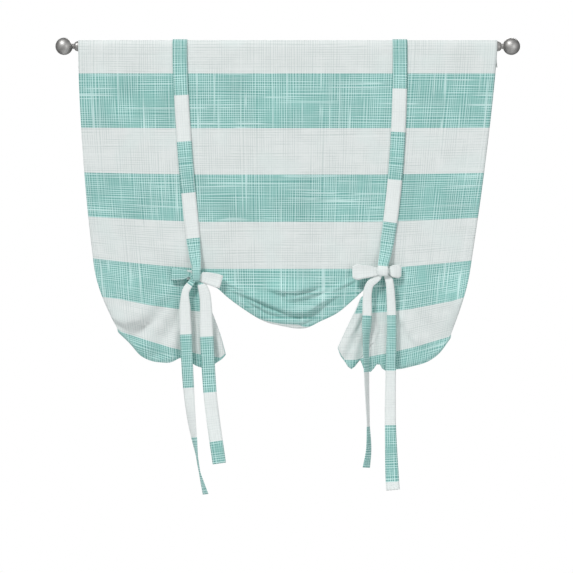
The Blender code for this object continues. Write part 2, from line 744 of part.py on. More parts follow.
clear_scene()
WHITE = make_material("white_cloth", (0.74, 0.80, 0.78), 0.9)
TEAL = make_material("teal_cloth", (0.34, 0.60, 0.56), 0.9)
METAL = make_material("brushed_nickel", (0.42, 0.41, 0.40), 0.32, 1.0)
PLASTIC = make_material("dark_plastic", (0.06, 0.06, 0.06), 0.5)
make_panel(WHITE, TEAL)
make_rod(METAL)
for name, settings in SIDES.items():
    front = mirror_stations(front_tie_stations(settings), settings["sign"])
    back = mirror_stations(back_tie_stations(settings), settings["sign"])
    make_ribbon(f"{name}_front_tie", front, (TEAL, WHITE))
    make_ribbon(f"{name}_back_tie", back, (TEAL, WHITE))
    make_end_plug(f"{name}_end_plug", settings["sign"], PLASTIC)
    make_finial(f"{name}_finial", settings["sign"], METAL)
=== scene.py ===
import math

import bpy
import bmesh
import numpy as np
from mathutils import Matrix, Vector


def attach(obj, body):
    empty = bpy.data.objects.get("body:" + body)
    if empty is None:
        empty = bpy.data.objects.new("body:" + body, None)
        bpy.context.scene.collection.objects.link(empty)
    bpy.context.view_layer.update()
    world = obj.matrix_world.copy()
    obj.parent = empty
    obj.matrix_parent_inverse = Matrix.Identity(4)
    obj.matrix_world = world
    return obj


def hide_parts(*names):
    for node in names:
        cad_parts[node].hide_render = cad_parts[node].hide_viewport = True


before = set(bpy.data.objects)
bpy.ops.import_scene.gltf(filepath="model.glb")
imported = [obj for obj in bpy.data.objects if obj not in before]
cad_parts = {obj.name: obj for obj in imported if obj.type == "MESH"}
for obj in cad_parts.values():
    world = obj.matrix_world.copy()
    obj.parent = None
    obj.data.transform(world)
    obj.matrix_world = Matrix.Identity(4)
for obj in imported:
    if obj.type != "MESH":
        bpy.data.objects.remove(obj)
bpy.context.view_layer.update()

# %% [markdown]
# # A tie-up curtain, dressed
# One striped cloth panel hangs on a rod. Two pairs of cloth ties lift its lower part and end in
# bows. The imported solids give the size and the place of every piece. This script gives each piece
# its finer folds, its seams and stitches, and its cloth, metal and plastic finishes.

# %% [markdown]
# ## Camera and lamps
# The curtain was seen level and from far off, so a long lens keeps its edges straight. Cloth looks
# right under broad soft light with a gentle key from above: the folds then shade themselves. Small
# lamps would draw hard lines across the thin ties, so every lamp here is a wide panel.

# %% Camera
METRES_PER_PIXEL = 0.00255
IMAGE_WIDTH = 573
VIEW_DISTANCE = 6.0
SENSOR = 36.0
VIEW_CENTRE = Vector((-0.0033, 0.0, -0.6125))

scene = bpy.context.scene
scene.view_settings.view_transform = "Standard"
camera_data = bpy.data.cameras.new("camera")
camera = bpy.data.objects.new("camera", camera_data)
scene.collection.objects.link(camera)
scene.camera = camera
camera_data.sensor_width = SENSOR
camera_data.lens = SENSOR * VIEW_DISTANCE / (IMAGE_WIDTH * METRES_PER_PIXEL)
camera.location = VIEW_CENTRE - Vector((0.0, VIEW_DISTANCE, 0.0))
camera.rotation_euler = (math.radians(90), 0.0, 0.0)
print("lens", round(camera_data.lens, 1), "mm")

# %% Lamps
# Name, place, the point it looks at, width and height in metres, power in watts
LAMPS = (
    ("key_light", (-3.2, -4.8, 5.1), (0, 0, -0.75), (1.6, 1.6), 362),
    ("fill_light", (2.2, -3.0, -0.6), (0, 0, -0.8), (2.0, 2.0), 24),
    ("back_light", (0.6, 2.6, 1.2), (0, 0, -0.6), (2.0, 1.4), 60),
)


def softbox(name, place, target, size, power):
    """A large area lamp that looks at a point."""
    data = bpy.data.lights.new(name, "AREA")
    data.shape = "RECTANGLE"
    data.size, data.size_y = size
    data.energy = power
    lamp = bpy.data.objects.new(name, data)
    lamp.location = place
    lamp.rotation_euler = (Vector(target) - Vector(place)).to_track_quat("-Z", "Y").to_euler()
    scene.collection.objects.link(lamp)


for lamp_settings in LAMPS:
    softbox(*lamp_settings)
print(len(LAMPS), "lamps")

# %% [markdown]
# ## Background and floor
# The background is white to the camera only, so it puts no light on the cloth. The metal sees a
# room that is bright before it and dim behind, which gives the balls their dark rim. The floor
# takes a shadow and fades out toward its edge, so that no horizon shows.

# %% The room
AMBIENT = 0.38
AMBIENT_COLOUR = (0.96, 0.98, 1.0, 1)
PURE_WHITE = (1, 1, 1, 1)
ROOM_GREY = (0.8, 0.8, 0.8, 1)
# The strength that the metal sees, from behind the curtain to before it
ROOM_SWEEP = {"From Min": 0.75, "From Max": -0.55, "To Min": 0.13, "To Max": 0.72}

world = bpy.data.worlds.new("studio")
scene.world = world
world.use_nodes = True
tree = world.node_tree
tree.nodes.clear()


def background(colour, strength):
    """A background of one colour."""
    node = tree.nodes.new("ShaderNodeBackground")
    node.inputs["Color"].default_value = colour
    node.inputs["Strength"].default_value = strength
    return node


seen = background(PURE_WHITE, 1.0)
soft = background(AMBIENT_COLOUR, AMBIENT)
dim = background(ROOM_GREY, 1.0)
paths = tree.nodes.new("ShaderNodeLightPath")
white_seen = tree.nodes.new("ShaderNodeMath")
white_seen.operation = "MAXIMUM"
direction = tree.nodes.new("ShaderNodeTexCoord")
parts = tree.nodes.new("ShaderNodeSeparateXYZ")
sweep = tree.nodes.new("ShaderNodeMapRange")
sweep.interpolation_type = "SMOOTHSTEP"
for key, number in ROOM_SWEEP.items():
    sweep.inputs[key].default_value = number
mirrored = tree.nodes.new("ShaderNodeMixShader")
choice = tree.nodes.new("ShaderNodeMixShader")
world_out = tree.nodes.new("ShaderNodeOutputWorld")
for source, target in (
    (direction.outputs["Generated"], parts.inputs[0]),
    (parts.outputs["Y"], sweep.inputs["Value"]),
    (sweep.outputs[0], dim.inputs["Strength"]),
    (paths.outputs["Is Glossy Ray"], mirrored.inputs["Fac"]),
    (soft.outputs[0], mirrored.inputs[1]),
    (dim.outputs[0], mirrored.inputs[2]),
    (paths.outputs["Is Camera Ray"], white_seen.inputs[0]),
    (paths.outputs["Is Transmission Ray"], white_seen.inputs[1]),
    (white_seen.outputs[0], choice.inputs["Fac"]),
    (mirrored.outputs[0], choice.inputs[1]),
    (seen.outputs[0], choice.inputs[2]),
    (choice.outputs[0], world_out.inputs["Surface"]),
):
    tree.links.new(source, target)
print("room has", len(tree.nodes), "nodes")

# %% Floor
FLOOR_LEVEL = -1.62
FLOOR_SIZE = 3.6
FLOOR_FADE = 0.9
FLOOR_COLOUR = (0.86, 0.86, 0.86, 1)
FLOOR_ROUGHNESS = 0.9

bpy.ops.mesh.primitive_plane_add(size=FLOOR_SIZE, location=(0, 0, FLOOR_LEVEL))
floor = bpy.context.object
floor.name = "floor"
floor_finish = bpy.data.materials.new("pale_floor")
floor_finish.use_nodes = True
nodes, links = floor_finish.node_tree.nodes, floor_finish.node_tree.links
floor_shader = nodes["Principled BSDF"]
floor_shader.inputs["Base Color"].default_value = FLOOR_COLOUR
floor_shader.inputs["Roughness"].default_value = FLOOR_ROUGHNESS
from_middle = nodes.new("ShaderNodeVectorMath")
from_middle.operation = "LENGTH"
links.new(nodes.new("ShaderNodeTexCoord").outputs["Object"], from_middle.inputs[0])
fade = nodes.new("ShaderNodeMapRange")
fade.interpolation_type = "SMOOTHSTEP"
fade.inputs["From Min"].default_value = FLOOR_FADE
fade.inputs["From Max"].default_value = FLOOR_SIZE / 2
links.new(from_middle.outputs["Value"], fade.inputs["Value"])
faded = nodes.new("ShaderNodeMixShader")
links.new(fade.outputs[0], faded.inputs["Fac"])
links.new(floor_shader.outputs[0], faded.inputs[1])
links.new(nodes.new("ShaderNodeBsdfTransparent").outputs[0], faded.inputs[2])
links.new(faded.outputs[0], nodes["Material Output"].inputs["Surface"])
floor.data.materials.append(floor_finish)
print("floor", FLOOR_SIZE, "m wide at", FLOOR_LEVEL, "m")

# %% [markdown]
# ## A small language for shaders
# Patterns are easier to read as sums than as wired boxes. The first class below wraps a node's
# socket, so that `a * b + 0.5` adds the Math nodes itself. The second one holds a material while
# it is built. Colours go through Mix nodes, because a Math node would turn them grey.

# %% The socket wrapper
class Value:
    """A socket that can be used in sums. Every sum adds one Math node."""

    def __init__(self, shader, socket):
        self.shader = shader
        self.socket = socket

    def math(self, operation, *others, swapped=False):
        """This value and up to two others through one Math node."""
        inputs = [self, *others]
        if swapped:
            inputs = [others[0], self]
        return self.shader.node("ShaderNodeMath", {"operation": operation}, *inputs)

    def __add__(self, other):
        return self.math("ADD", other)

    __radd__ = __add__

    def __mul__(self, other):
        return self.math("MULTIPLY", other)

    __rmul__ = __mul__

    def __sub__(self, other):
        return self.math("SUBTRACT", other)

    def __rsub__(self, other):
        return self.math("SUBTRACT", other, swapped=True)

    def __truediv__(self, other):
        return self.math("DIVIDE", other)

    def __rtruediv__(self, other):
        return self.math("DIVIDE", other, swapped=True)

    def above(self, other):
        """One where this value is greater."""
        return self.math("GREATER_THAN", other)

    def step(self, low, high):
        """A smooth climb from 0 at low to 1 at high."""
        settings = {"interpolation_type": "SMOOTHSTEP"}
        return self.shader.node("ShaderNodeMapRange", settings, self, low, high, 0.0, 1.0)


print("sockets can be used in sums")

# %% The material builder
class Shader:
    """One material under construction."""

    def __init__(self, name):
        self.material = bpy.data.materials.new(name)
        self.material.use_nodes = True
        self.tree = self.material.node_tree
        self.surface = self.tree.nodes["Principled BSDF"]

    def node(self, kind, settings, *inputs, output=0, named=None):
        """Any node: its settings first, then its inputs as numbers, colours or links."""
        made = self.tree.nodes.new(kind)
        for key, setting in settings.items():
            setattr(made, key, setting)
        for socket, value in zip([s for s in made.inputs if s.enabled], inputs):
            self.feed(socket, value)
        for key, value in (named or {}).items():
            self.feed(made.inputs[key], value)
        outputs = [s for s in made.outputs if s.enabled]
        return Value(self, outputs[output])

    def feed(self, socket, value):
        """Give a socket a link or a plain value; None leaves it alone."""
        if value is None:
            return
        if isinstance(value, Value):
            self.tree.links.new(value.socket, socket)
        elif socket.type == "RGBA" and len(value) == 3:
            socket.default_value = (*value, 1.0)
        else:
            socket.default_value = value

    def vector(self, x, y, z=0.0):
        return self.node("ShaderNodeCombineXYZ", {}, x, y, z)

    def split(self, vector):
        """The three numbers in a vector."""
        made = self.node("ShaderNodeSeparateXYZ", {}, vector)
        return [Value(self, s) for s in made.socket.node.outputs]

    def noise(self, vector, scale=1.0, detail=0.0, roughness=0.5):
        """Soft random cells about one unit wide, from 0 to 1."""
        named = {"Vector": vector, "Scale": scale, "Detail": detail, "Roughness": roughness}
        return self.node("ShaderNodeTexNoise", {"noise_dimensions": "3D"}, named=named)

    def mix(self, share, first, second, kind="MIX"):
        """Two colours mixed by a share."""
        settings = {"data_type": "RGBA", "blend_type": kind}
        return self.node("ShaderNodeMix", settings, share, first, second)

    def bump(self, height, strength, distance):
        """A Bump node on a height."""
        named = {"Height": height, "Strength": strength, "Distance": distance}
        return self.node("ShaderNodeBump", {}, named=named)

    def finish(self, **sockets):
        """Feed the surface's sockets; underscores stand for spaces."""
        for name, value in sockets.items():
            self.feed(self.surface.inputs[name.replace("_", " ")], value)
        return self.material


def from_screen(red, green, blue):
    """A colour as seen on a screen, 0 to 255, turned into linear light."""
    light = []
    for channel in (red, green, blue):
        share = channel / 255
        light.append(share / 12.92 if share <= 0.04045 else ((share + 0.055) / 1.055) ** 2.4)
    return tuple(light)


print("shader language ready")

# %% [markdown]
# ## Cloth
# The fabric is a plain weave printed with a linen look: fine lines run both ways, some pale and
# some dark, none of them even. Noise that is squeezed along one direction of the cloth gives
# such threads. The cloth's own UV map is in metres, so the threads follow each fold. A number
# on each point, called stripe, counts the colour fields: it is odd in a teal one. The hems lie
# double, so a small step in the bump shows where they end.

# %% Threads of the cloth
# Width and length of the soft cells that each pattern is drawn from, in metres
WANDER_CELL = (0.017, 0.45)
PATCH_CELL = (0.026, 0.090)
SLUB_CELL = (0.0056, 0.40)
SLUB_FADE_CELL = (0.020, 0.11)
FINE_CELL = (0.0011, 0.020)
CLOUD_SCALE = 11.0
THREAD_PITCH = 0.0060
THREAD_WANDER = 2.0
FADED_THREAD = 0.38
TURN = 2 * math.pi


def thread_patterns(s, u, v, slub_share):
    """The patterns of the linen look: two hatches, slubs, clouds and fine threads."""

    def cells(across, along, size, seed):
        """Soft cells of a given width and length, from 0 to 1."""
        return s.noise(s.vector(across / size[0], along / size[1], seed), 1.0, 1.0)

    def hatch(across, along, seed):
        """Close even lines that wander a little and fade in patches, from -1 to 1."""
        wander = cells(across, along, WANDER_CELL, seed) * THREAD_WANDER
        wave = ((across / THREAD_PITCH + wander) * TURN).math("SINE")
        patch = cells(across, along, PATCH_CELL, seed + 20)
        return wave * (patch.step(0.34, 0.58) * (1 - FADED_THREAD) + FADED_THREAD)

    def slub(across, along, seed):
        """A few thick threads that run far."""
        line = cells(across, along, SLUB_CELL, seed + 40)
        patch = cells(across, along, SLUB_FADE_CELL, seed + 60)
        return line.step(0.60, 0.69) * patch.step(0.38, 0.56)

    upright, level = hatch(u, v, 1.3), hatch(v, u, 7.7)
    slubs = slub(u, v, 2.1).math("MAXIMUM", slub(v, u, 5.9)) * slub_share
    cloud = s.noise(s.vector(u, v, 4.0), CLOUD_SCALE, 1.0)
    fine = cells(u, v, FINE_CELL, 5.0) + cells(v, u, FINE_CELL, 6.0) - 1.0
    return upright, level, slubs, cloud, fine


print("threads every", THREAD_PITCH * 1000, "mm")

# %% Colours of the two fields
# Share of teal's red, green and blue that a dark thread keeps
DARK_THREAD = (0.52, 0.68, 0.69)
# How far a pale thread goes from teal toward white
PALE_THREAD = (0.62, 0.95, 0.92)
# Share of white that a grey thread keeps
GREY_THREAD = (0.66, 0.72, 0.71)
GREEN_TINT = 0.16
SLUB_LIGHT = 1.06
LIGHTEST = 0.93


def teal_field(s, teal, white, patterns):
    """Teal with dark gaps between its threads, pale threads and slubs."""
    upright, level, slubs, _, _ = patterns
    tone = (upright + level) * 0.5
    pale_lines = upright.math("MAXIMUM", level)
    dark = tuple(c * d for c, d in zip(teal, DARK_THREAD))
    pale = tuple(c + (w - c) * d for c, w, d in zip(teal, white, PALE_THREAD))
    colour = s.mix(tone.step(-0.75, 0.05), dark, teal)
    colour = s.mix((pale_lines * 0.55 + tone * 0.45).step(0.05, 0.95) * 0.95, colour, pale)
    return s.mix(slubs * 0.9, colour, pale)


def white_field(s, teal, white, patterns, contrast):
    """White with faint grey threads and clouds that are tinted with green."""
    upright, level, slubs, cloud, _ = patterns
    tone = (upright + level) * 0.5
    dark_lines = (upright * -1.0).math("MAXIMUM", level * -1.0)
    grey = tuple(w * d for w, d in zip(white, GREY_THREAD))
    tint = tuple(w * (1 - GREEN_TINT) + t * GREEN_TINT for w, t in zip(white, teal))
    lines = (dark_lines * 0.7 - tone * 0.3).step(0.0, 1.0)
    colour = s.mix(lines * (0.62 * contrast), white, grey)
    colour = s.mix(cloud.step(0.48, 0.72) * (0.55 * contrast), colour, tint)
    return s.mix(slubs * 0.4, colour, tuple(min(w * SLUB_LIGHT, LIGHTEST) for w in white))


print("a pale thread goes", PALE_THREAD, "of the way to white")

# %% Cloth finish
CLOTH_WIDTH = 1.067
TIE_WIDTH = 0.037
PANEL_HEM = 0.012
TIE_HEM = 0.004
HEM_STEP = 0.0006
TEAL = from_screen(150, 202, 195)
WHITE = from_screen(236, 241, 239)
TIE_WHITE = from_screen(243, 248, 246)
# A narrow tie shows fainter threads in its white fields, and fainter slubs
TIE_CONTRAST = 0.35
TIE_SLUBS = 0.35


def cloth_material(name, white, width, hem, white_contrast=1.0, slub_share=1.0):
    """Linen-look cloth with teal and white fields."""
    s = Shader(name)
    place = s.node("ShaderNodeUVMap", {"uv_map": "UVMap"})
    u, v, _ = s.split(place)
    stripe = s.node("ShaderNodeAttribute", {"attribute_name": "stripe"}, output=2)
    patterns = thread_patterns(s, u, v, slub_share)
    upright, level, slubs, cloud, fine = patterns

    ragged = stripe + fine * 0.004
    is_teal = (ragged * 0.5).math("FRACT").above(0.499)
    in_white = white_field(s, TEAL, white, patterns, white_contrast)
    colour = s.mix(is_teal, in_white, teal_field(s, TEAL, white, patterns))
    lightness = 1.0 + (cloud - 0.5) * (0.10 + is_teal * 0.22) + fine * 0.10
    grey = s.node("ShaderNodeCombineColor", {}, lightness, lightness, lightness)
    colour = s.mix(1.0, colour, grey, "MULTIPLY")

    edge = width / 2 - u.math("ABSOLUTE")
    doubled = 1.0 - edge.step(hem - HEM_STEP, hem + HEM_STEP)
    relief = fine * 0.5 + (upright + level) * 0.175 + slubs * 0.3 + doubled * 0.9
    normal = s.bump(relief, 0.5, 0.0006)
    material = s.finish(Base_Color=colour, Roughness=0.86 + upright * 0.05, Normal=normal)
    s.surface.inputs["Sheen Weight"].default_value = 0.15
    s.surface.inputs["Sheen Roughness"].default_value = 0.5
    s.surface.inputs["Specular IOR Level"].default_value = 0.2
    return material


panel_cloth = cloth_material("striped_cloth", WHITE, CLOTH_WIDTH, PANEL_HEM)
tie_cloth = cloth_material("tie_cloth", TIE_WHITE, TIE_WIDTH, TIE_HEM, TIE_CONTRAST, TIE_SLUBS)
print("two cloths with", len(panel_cloth.node_tree.nodes), "nodes each")

# %% [markdown]
# ## The panel's shape
# The cloth is one sheet. It comes over the rod, falls flat to the level of the bows, and below it
# folds up and down behind itself, which takes up the rest of its length. A cloth simulation would
# not stop at the right outline. So every column of the sheet is drawn as one route down the
# cloth, and a grid of columns gives the surface, its UV map and its stripes at once.

# %% Sizes of the hanging panel
GAP = 0.0003
CLOTH_THICKNESS = 0.0010
ROD_RADIUS = 0.0127
POCKET_DEPTH = 0.055
STRIPE_LENGTH = 0.120
TOP_STRIPE_ENDS = (0.070, 0.210, 0.328, 0.448, 0.568)
TIE_DEPTH = TOP_STRIPE_ENDS[-1]
SWAG_DROP = 0.151
WING_DROP = 0.250
PANEL_LEAN = 0.0018
SIDE_LIFT_START = 0.200
SIDE_LIFT_CURVE = 1.3
print("the bows sit", TIE_DEPTH, "m below the rod's axis")

# %% Outline of the two sides
# The knot is a lateral and a height. Edge pull is how far the side edge is drawn in at the bows,
# and edge lift how far it is raised. The outline's points are (across, down): across in shares of
# the way from the knot to the side edge, down in shares of the wing's drop. The flare is the part
# of the outline that goes back up to the knot.
SIDES = {
    "left": {
        "sign": -1,
        "knot": Vector((0.2315, 0.0, -0.583)),
        "edge_pull": 0.038,
        "edge_curve": 1.6,
        "edge_lift": 0.027,
        "bottom": (
            (0.760, 0.619), (0.551, 0.840), (0.440, 0.925), (0.354, 0.944), (0.268, 0.937),
            (0.145, 0.907), (0.000, 0.979), (-0.106, 0.994), (-0.193, 0.958), (-0.274, 0.866),
        ),
        "flare": (
            (-0.225, 0.671), (-0.163, 0.488), (-0.100, 0.320), (-0.055, 0.230), (-0.022, 0.168),
        ),
    },
    "right": {
        "sign": 1,
        "knot": Vector((0.2410, 0.0, -0.5735)),
        "edge_pull": 0.066,
        "edge_curve": 1.2,
        "edge_lift": 0.0215,
        "bottom": (
            (0.764, 0.677), (0.628, 0.853), (0.456, 0.944), (0.284, 0.989), (0.154, 1.016),
            (0.030, 1.025), (-0.048, 0.964), (-0.127, 1.040), (-0.194, 1.030), (-0.262, 0.930),
            (-0.333, 1.016), (-0.419, 0.957), (-0.498, 0.801),
        ),
        "flare": (
            (-0.404, 0.606), (-0.290, 0.384), (-0.245, 0.290), (-0.195, 0.258),
            (-0.145, 0.238), (-0.108, 0.185),
        ),
    },
}
# The swag's lower edge from the left knot to the right one: (across, down) in shares
SWAG_EDGE = (
    (0.022, 0.241), (0.066, 0.265), (0.108, 0.320), (0.170, 0.487), (0.267, 0.707), (0.346, 0.850),
    (0.405, 0.917), (0.489, 0.978), (0.560, 1.000), (0.600, 0.980), (0.660, 0.887), (0.758, 0.737),
    (0.841, 0.523), (0.896, 0.363), (0.929, 0.287),
)
print("outline points", [len(side["bottom"] + side["flare"]) for side in SIDES.values()], len(SWAG_EDGE))

# %% Curves through points
def between(before, start, end, after, share):
    """A point between start and end on the smooth curve that also heeds their neighbours."""
    knots = [0.0]
    for first, second in ((before, start), (start, end), (end, after)):
        knots.append(knots[-1] + max((second - first).length, 1e-9) ** 0.5)
    t0, t1, t2, t3 = knots
    t = t1 + (t2 - t1) * share
    a1 = before.lerp(start, (t - t0) / (t1 - t0))
    a2 = start.lerp(end, (t - t1) / (t2 - t1))
    a3 = end.lerp(after, (t - t2) / (t3 - t2))
    b1 = a1.lerp(a2, (t - t0) / (t2 - t0))
    b2 = a2.lerp(a3, (t - t1) / (t3 - t1))
    return b1.lerp(b2, (t - t1) / (t2 - t1))


def smooth_path(points, steps):
    """Points along a smooth curve through the given ones."""
    ends = [points[0] * 2 - points[1]] + list(points) + [points[-1] * 2 - points[-2]]
    path = []
    for before, start, end, after in zip(ends, ends[1:], ends[2:], ends[3:]):
        path += [between(before, start, end, after, step / steps) for step in range(steps)]
    path.append(Vector(points[-1]))
    return path


def spaced(points, count, crowding=1.0):
    """Points along the smooth curve, crowded toward its end above 1."""
    path = smooth_path(points, 24)
    reach = [0.0]
    for start, end in zip(path, path[1:]):
        reach.append(reach[-1] + (end - start).length)
    result = []
    index = 0
    for step in range(count + 1):
        target = reach[-1] * (1 - (1 - step / count) ** crowding)
        while index < len(path) - 2 and reach[index + 1] < target:
            index += 1
        share = (target - reach[index]) / (reach[index + 1] - reach[index])
        result.append(path[index].lerp(path[index + 1], share))
    return result


def eased(share):
    """A smooth climb from 0 to 1."""
    share = min(max(share, 0.0), 1.0)
    return share * share * (3 - 2 * share)


def lengths_along(points):
    """The length of a path up to each of its points."""
    lengths = [0.0]
    for start, end in zip(points, points[1:]):
        lengths.append(lengths[-1] + (end - start).length)
    return lengths


print("half-way up a smooth climb:", eased(0.5))

# %% The flat upper panel
def side_of(x):
    """The side's settings for a place left or right of mid-width."""
    return SIDES["left"] if x < 0 else SIDES["right"]


def edge_lateral(side, depth):
    """Half-width of the panel at a depth."""
    share = max(depth, 0.0) / TIE_DEPTH
    return CLOTH_WIDTH / 2 - side["edge_pull"] * share ** side["edge_curve"]


def row_lift(side, share_of_depth, x):
    """How far the cloth outside the ties is lifted."""
    reach = max(0.0, abs(x) - SIDE_LIFT_START) / (edge_lateral(side, TIE_DEPTH) - SIDE_LIFT_START)
    return side["edge_lift"] * share_of_depth ** 3 * reach ** SIDE_LIFT_CURVE


def front_y(depth):
    """Where the hanging front of the panel lies at a depth."""
    middle = ROD_RADIUS + GAP + CLOTH_THICKNESS / 2
    return -middle - PANEL_LEAN * min(max(depth, 0.0) / TIE_DEPTH, 1.0)


def panel_point(x_at_tie, depth):
    """A point of the flat upper panel."""
    side = side_of(x_at_tie)
    x = x_at_tie * edge_lateral(side, depth) / edge_lateral(side, TIE_DEPTH)
    return Vector((x, front_y(depth), row_lift(side, depth / TIE_DEPTH, x_at_tie) - depth))


def across_cloth(point, top):
    """The place across the cloth of a point below the bows, where the threads keep the panel's lean."""
    side = side_of(point.x)
    lean = side["edge_pull"] * side["edge_curve"] / TIE_DEPTH
    return point.x * (CLOTH_WIDTH / 2) / (edge_lateral(side, TIE_DEPTH) - lean * (top - point.z))


print("half-widths at the bows", [round(edge_lateral(side, TIE_DEPTH), 3) for side in SIDES.values()])

# %% Columns of the wings and the swag
WING_STRETCH = 0.875
SWAG_STRETCH = 1.136
SWAG_PLUMB = 0.5
SWAG_OPEN = 0.6
WING_OPEN = 1.5
FLARE_SHARE = 0.07
FLARE_CROWDING = 1.9
FINE = 4
BOTTOM_COLUMNS = 9 * FINE
FLARE_COLUMNS = 6 * FINE
SWAG_COLUMNS = 18 * FINE


def wing_columns(side):
    """Columns of one wing, from its side edge to the knot."""
    knot = side["knot"].x
    edge = edge_lateral(side, TIE_DEPTH)
    width = edge - knot

    def place(pair):
        return Vector((side["sign"] * (knot + pair[0] * width), 0.0, -TIE_DEPTH - pair[1] * WING_DROP))

    bottom = spaced([place(pair) for pair in side["bottom"]], BOTTOM_COLUMNS)
    flare = spaced([bottom[-1]] + [place(pair) for pair in side["flare"]], FLARE_COLUMNS, FLARE_CROWDING)
    columns = []
    for index, low in enumerate(bottom):
        share = (1 - FLARE_SHARE) * index / BOTTOM_COLUMNS
        open_share = min(1.0, WING_OPEN * (1 - index / BOTTOM_COLUMNS))
        columns.append((side["sign"] * (edge - share * width), low, open_share, WING_STRETCH, 0.0))
    for index, low in enumerate(flare[1:], start=1):
        toward_knot = index / FLARE_COLUMNS
        share = 1 - FLARE_SHARE * (1 - toward_knot)
        columns.append((side["sign"] * (edge - share * width), low, 0.0, WING_STRETCH, toward_knot))
    return columns


def swag_columns(start, end):
    """Columns of the swag between the two knots."""
    left_x = -SIDES["left"]["knot"].x
    span = SIDES["right"]["knot"].x - left_x
    drop = [Vector((left_x + span * across, 0.0, -TIE_DEPTH - down * SWAG_DROP))
            for across, down in SWAG_EDGE]
    lows = spaced([start] + drop + [end], SWAG_COLUMNS)
    columns = []
    for index, low in enumerate(lows[1:-1], start=1):
        across = index / SWAG_COLUMNS
        open_share = SWAG_OPEN * math.sin(math.pi * across)
        x_at_tie = (left_x + span * across) * (1 - SWAG_PLUMB) + low.x * SWAG_PLUMB
        columns.append((x_at_tie, low, open_share, SWAG_STRETCH, 0.0))
    return columns


def inward(lows, index):
    """Direction into the cloth at a point of the lower outline."""
    ahead = lows[min(index + 1, len(lows) - 1)]
    behind = lows[max(index - 1, 0)]
    along = (ahead - behind).normalized()
    return Vector((-along.z, 0.0, along.x))


# Each column: lateral at the bows, lowest point, how loose its layers are, stretch of the cloth,
# and how far along the flare it stands
left = wing_columns(SIDES["left"])
right = wing_columns(SIDES["right"])[::-1]
middle = swag_columns(left[-1][1], right[0][1])
columns = left + middle + right
lows = [column[1] for column in columns]
print(len(columns), "columns, of which", len(middle), "in the swag")

# %% [markdown]
# ## Folds
# The folds that can be seen from across a room are modelled, not painted. Each fold of the swag
# is a crest line: the cloth swells slowly down to it and drops back sharply below it, and the
# lamp above makes the shadow. The wings have pleats that fan out from each knot, so these
# are set by their angle round the knot.

# %% Fold lines
# Crest points (x, z) in metres, how far the crest stands out, reach above it, reach below it
SWAG_CRESTS = (
    (((-0.068, -0.6175), (-0.0250, -0.6236), (0.0160, -0.6262), (0.0500, -0.6205), (0.0950, -0.6085)),
     0.0110, 0.034, 0.0055),
    (((-0.028, -0.6230), (-0.0070, -0.6330), (0.0080, -0.6380), (0.0310, -0.6270)), 0.0045, 0.008, 0.0040),
    (((-0.020, -0.6440), (0.0050, -0.6480), (0.0350, -0.6415), (0.0750, -0.6290), (0.1080, -0.6190)),
     0.0065, 0.014, 0.0045),
    (((-0.1660, -0.6130), (-0.0850, -0.6425), (-0.0400, -0.6610), (-0.0070, -0.6750), (0.0200, -0.6800),
      (0.0520, -0.6780), (0.0860, -0.6540), (0.1530, -0.6240)), 0.0135, 0.026, 0.0065),
    (((-0.1150, -0.6440), (-0.0800, -0.6600), (-0.0530, -0.6760), (-0.0210, -0.6840), (0.0100, -0.6890)),
     0.0075, 0.012, 0.0045),
    (((-0.1050, -0.6650), (-0.0760, -0.6850), (-0.0440, -0.6990), (0.0000, -0.7045), (0.0290, -0.7060),
      (0.0750, -0.6920)), 0.0085, 0.015, 0.0050),
    (((-0.1850, -0.5920), (-0.1300, -0.6150), (-0.0900, -0.6300)), 0.0040, 0.016, 0.0060),
    (((0.0980, -0.6330), (0.1350, -0.6130), (0.1850, -0.5900)), 0.0040, 0.016, 0.0060),
    (((-0.1450, -0.6420), (-0.1150, -0.6560), (-0.0850, -0.6750)), 0.0035, 0.010, 0.0050),
)
WING_CRESTS = {
    "left": (
        (((-0.4740, -0.6250), (-0.4500, -0.6900), (-0.4100, -0.7080), (-0.3640, -0.6980),
          (-0.3150, -0.6730)), 0.0090, 0.050, 0.014),
        (((-0.4200, -0.7400), (-0.3800, -0.7700), (-0.3200, -0.7750), (-0.2750, -0.7550)),
         0.0050, 0.040, 0.016),
    ),
    "right": (
        (((0.2650, -0.6500), (0.2900, -0.6950), (0.3200, -0.7450), (0.3550, -0.7700)), 0.0080, 0.030, 0.018),
        (((0.3400, -0.6500), (0.3900, -0.6580), (0.4300, -0.6420)), 0.0040, 0.040, 0.020),
    ),
}
# Angle from straight down toward mid-width in degrees, half-width in degrees, stand-out in metres
PLEATS = {
    "left": ((-58, 7, 0.004), (-46, 4, -0.005), (-36, 5, 0.005), (-26, 4, -0.004), (-18, 4, 0.005),
             (-10, 3.5, -0.008), (2, 4, 0.006), (12, 2.5, -0.007), (18, 4, 0.005)),
    "right": ((-50, 7, 0.004), (-38, 5, -0.004), (-27, 5, 0.004), (-14, 6, 0.004), (-2, 3, 0.005),
              (3, 2.2, -0.008), (7, 2.5, 0.005), (14.8, 1.8, -0.010), (18, 2.2, 0.005), (22, 1.6, -0.006),
              (27, 3, 0.005)),
}
print(len(SWAG_CRESTS), "folds in the swag,", [len(pleats) for pleats in PLEATS.values()], "pleats")

# %% Relief of the folds
CREST_TAPER = 0.30
PLEAT_START = 0.03
PLEAT_REACH = 0.15
RIPPLE_HEIGHT = 0.0013
RIPPLE_DEPTH = 0.55
WING_BILLOW = 0.018
BILLOW_REACH = 0.130


def crest_relief(crests, x, z):
    """How far the folds stand out at a place."""
    relief = 0.0
    for points, depth, above, below in crests:
        start, end = points[0][0], points[-1][0]
        if not start < x < end:
            continue
        level = np.interp(x, [p[0] for p in points], [p[1] for p in points])
        taper = eased(min(x - start, end - x) / (CREST_TAPER * (end - start)))
        distance = z - level
        if distance >= 0:
            relief += depth * taper * eased(1 - distance / above)
        else:
            relief += depth * taper * eased(1 + distance / below)
    return relief


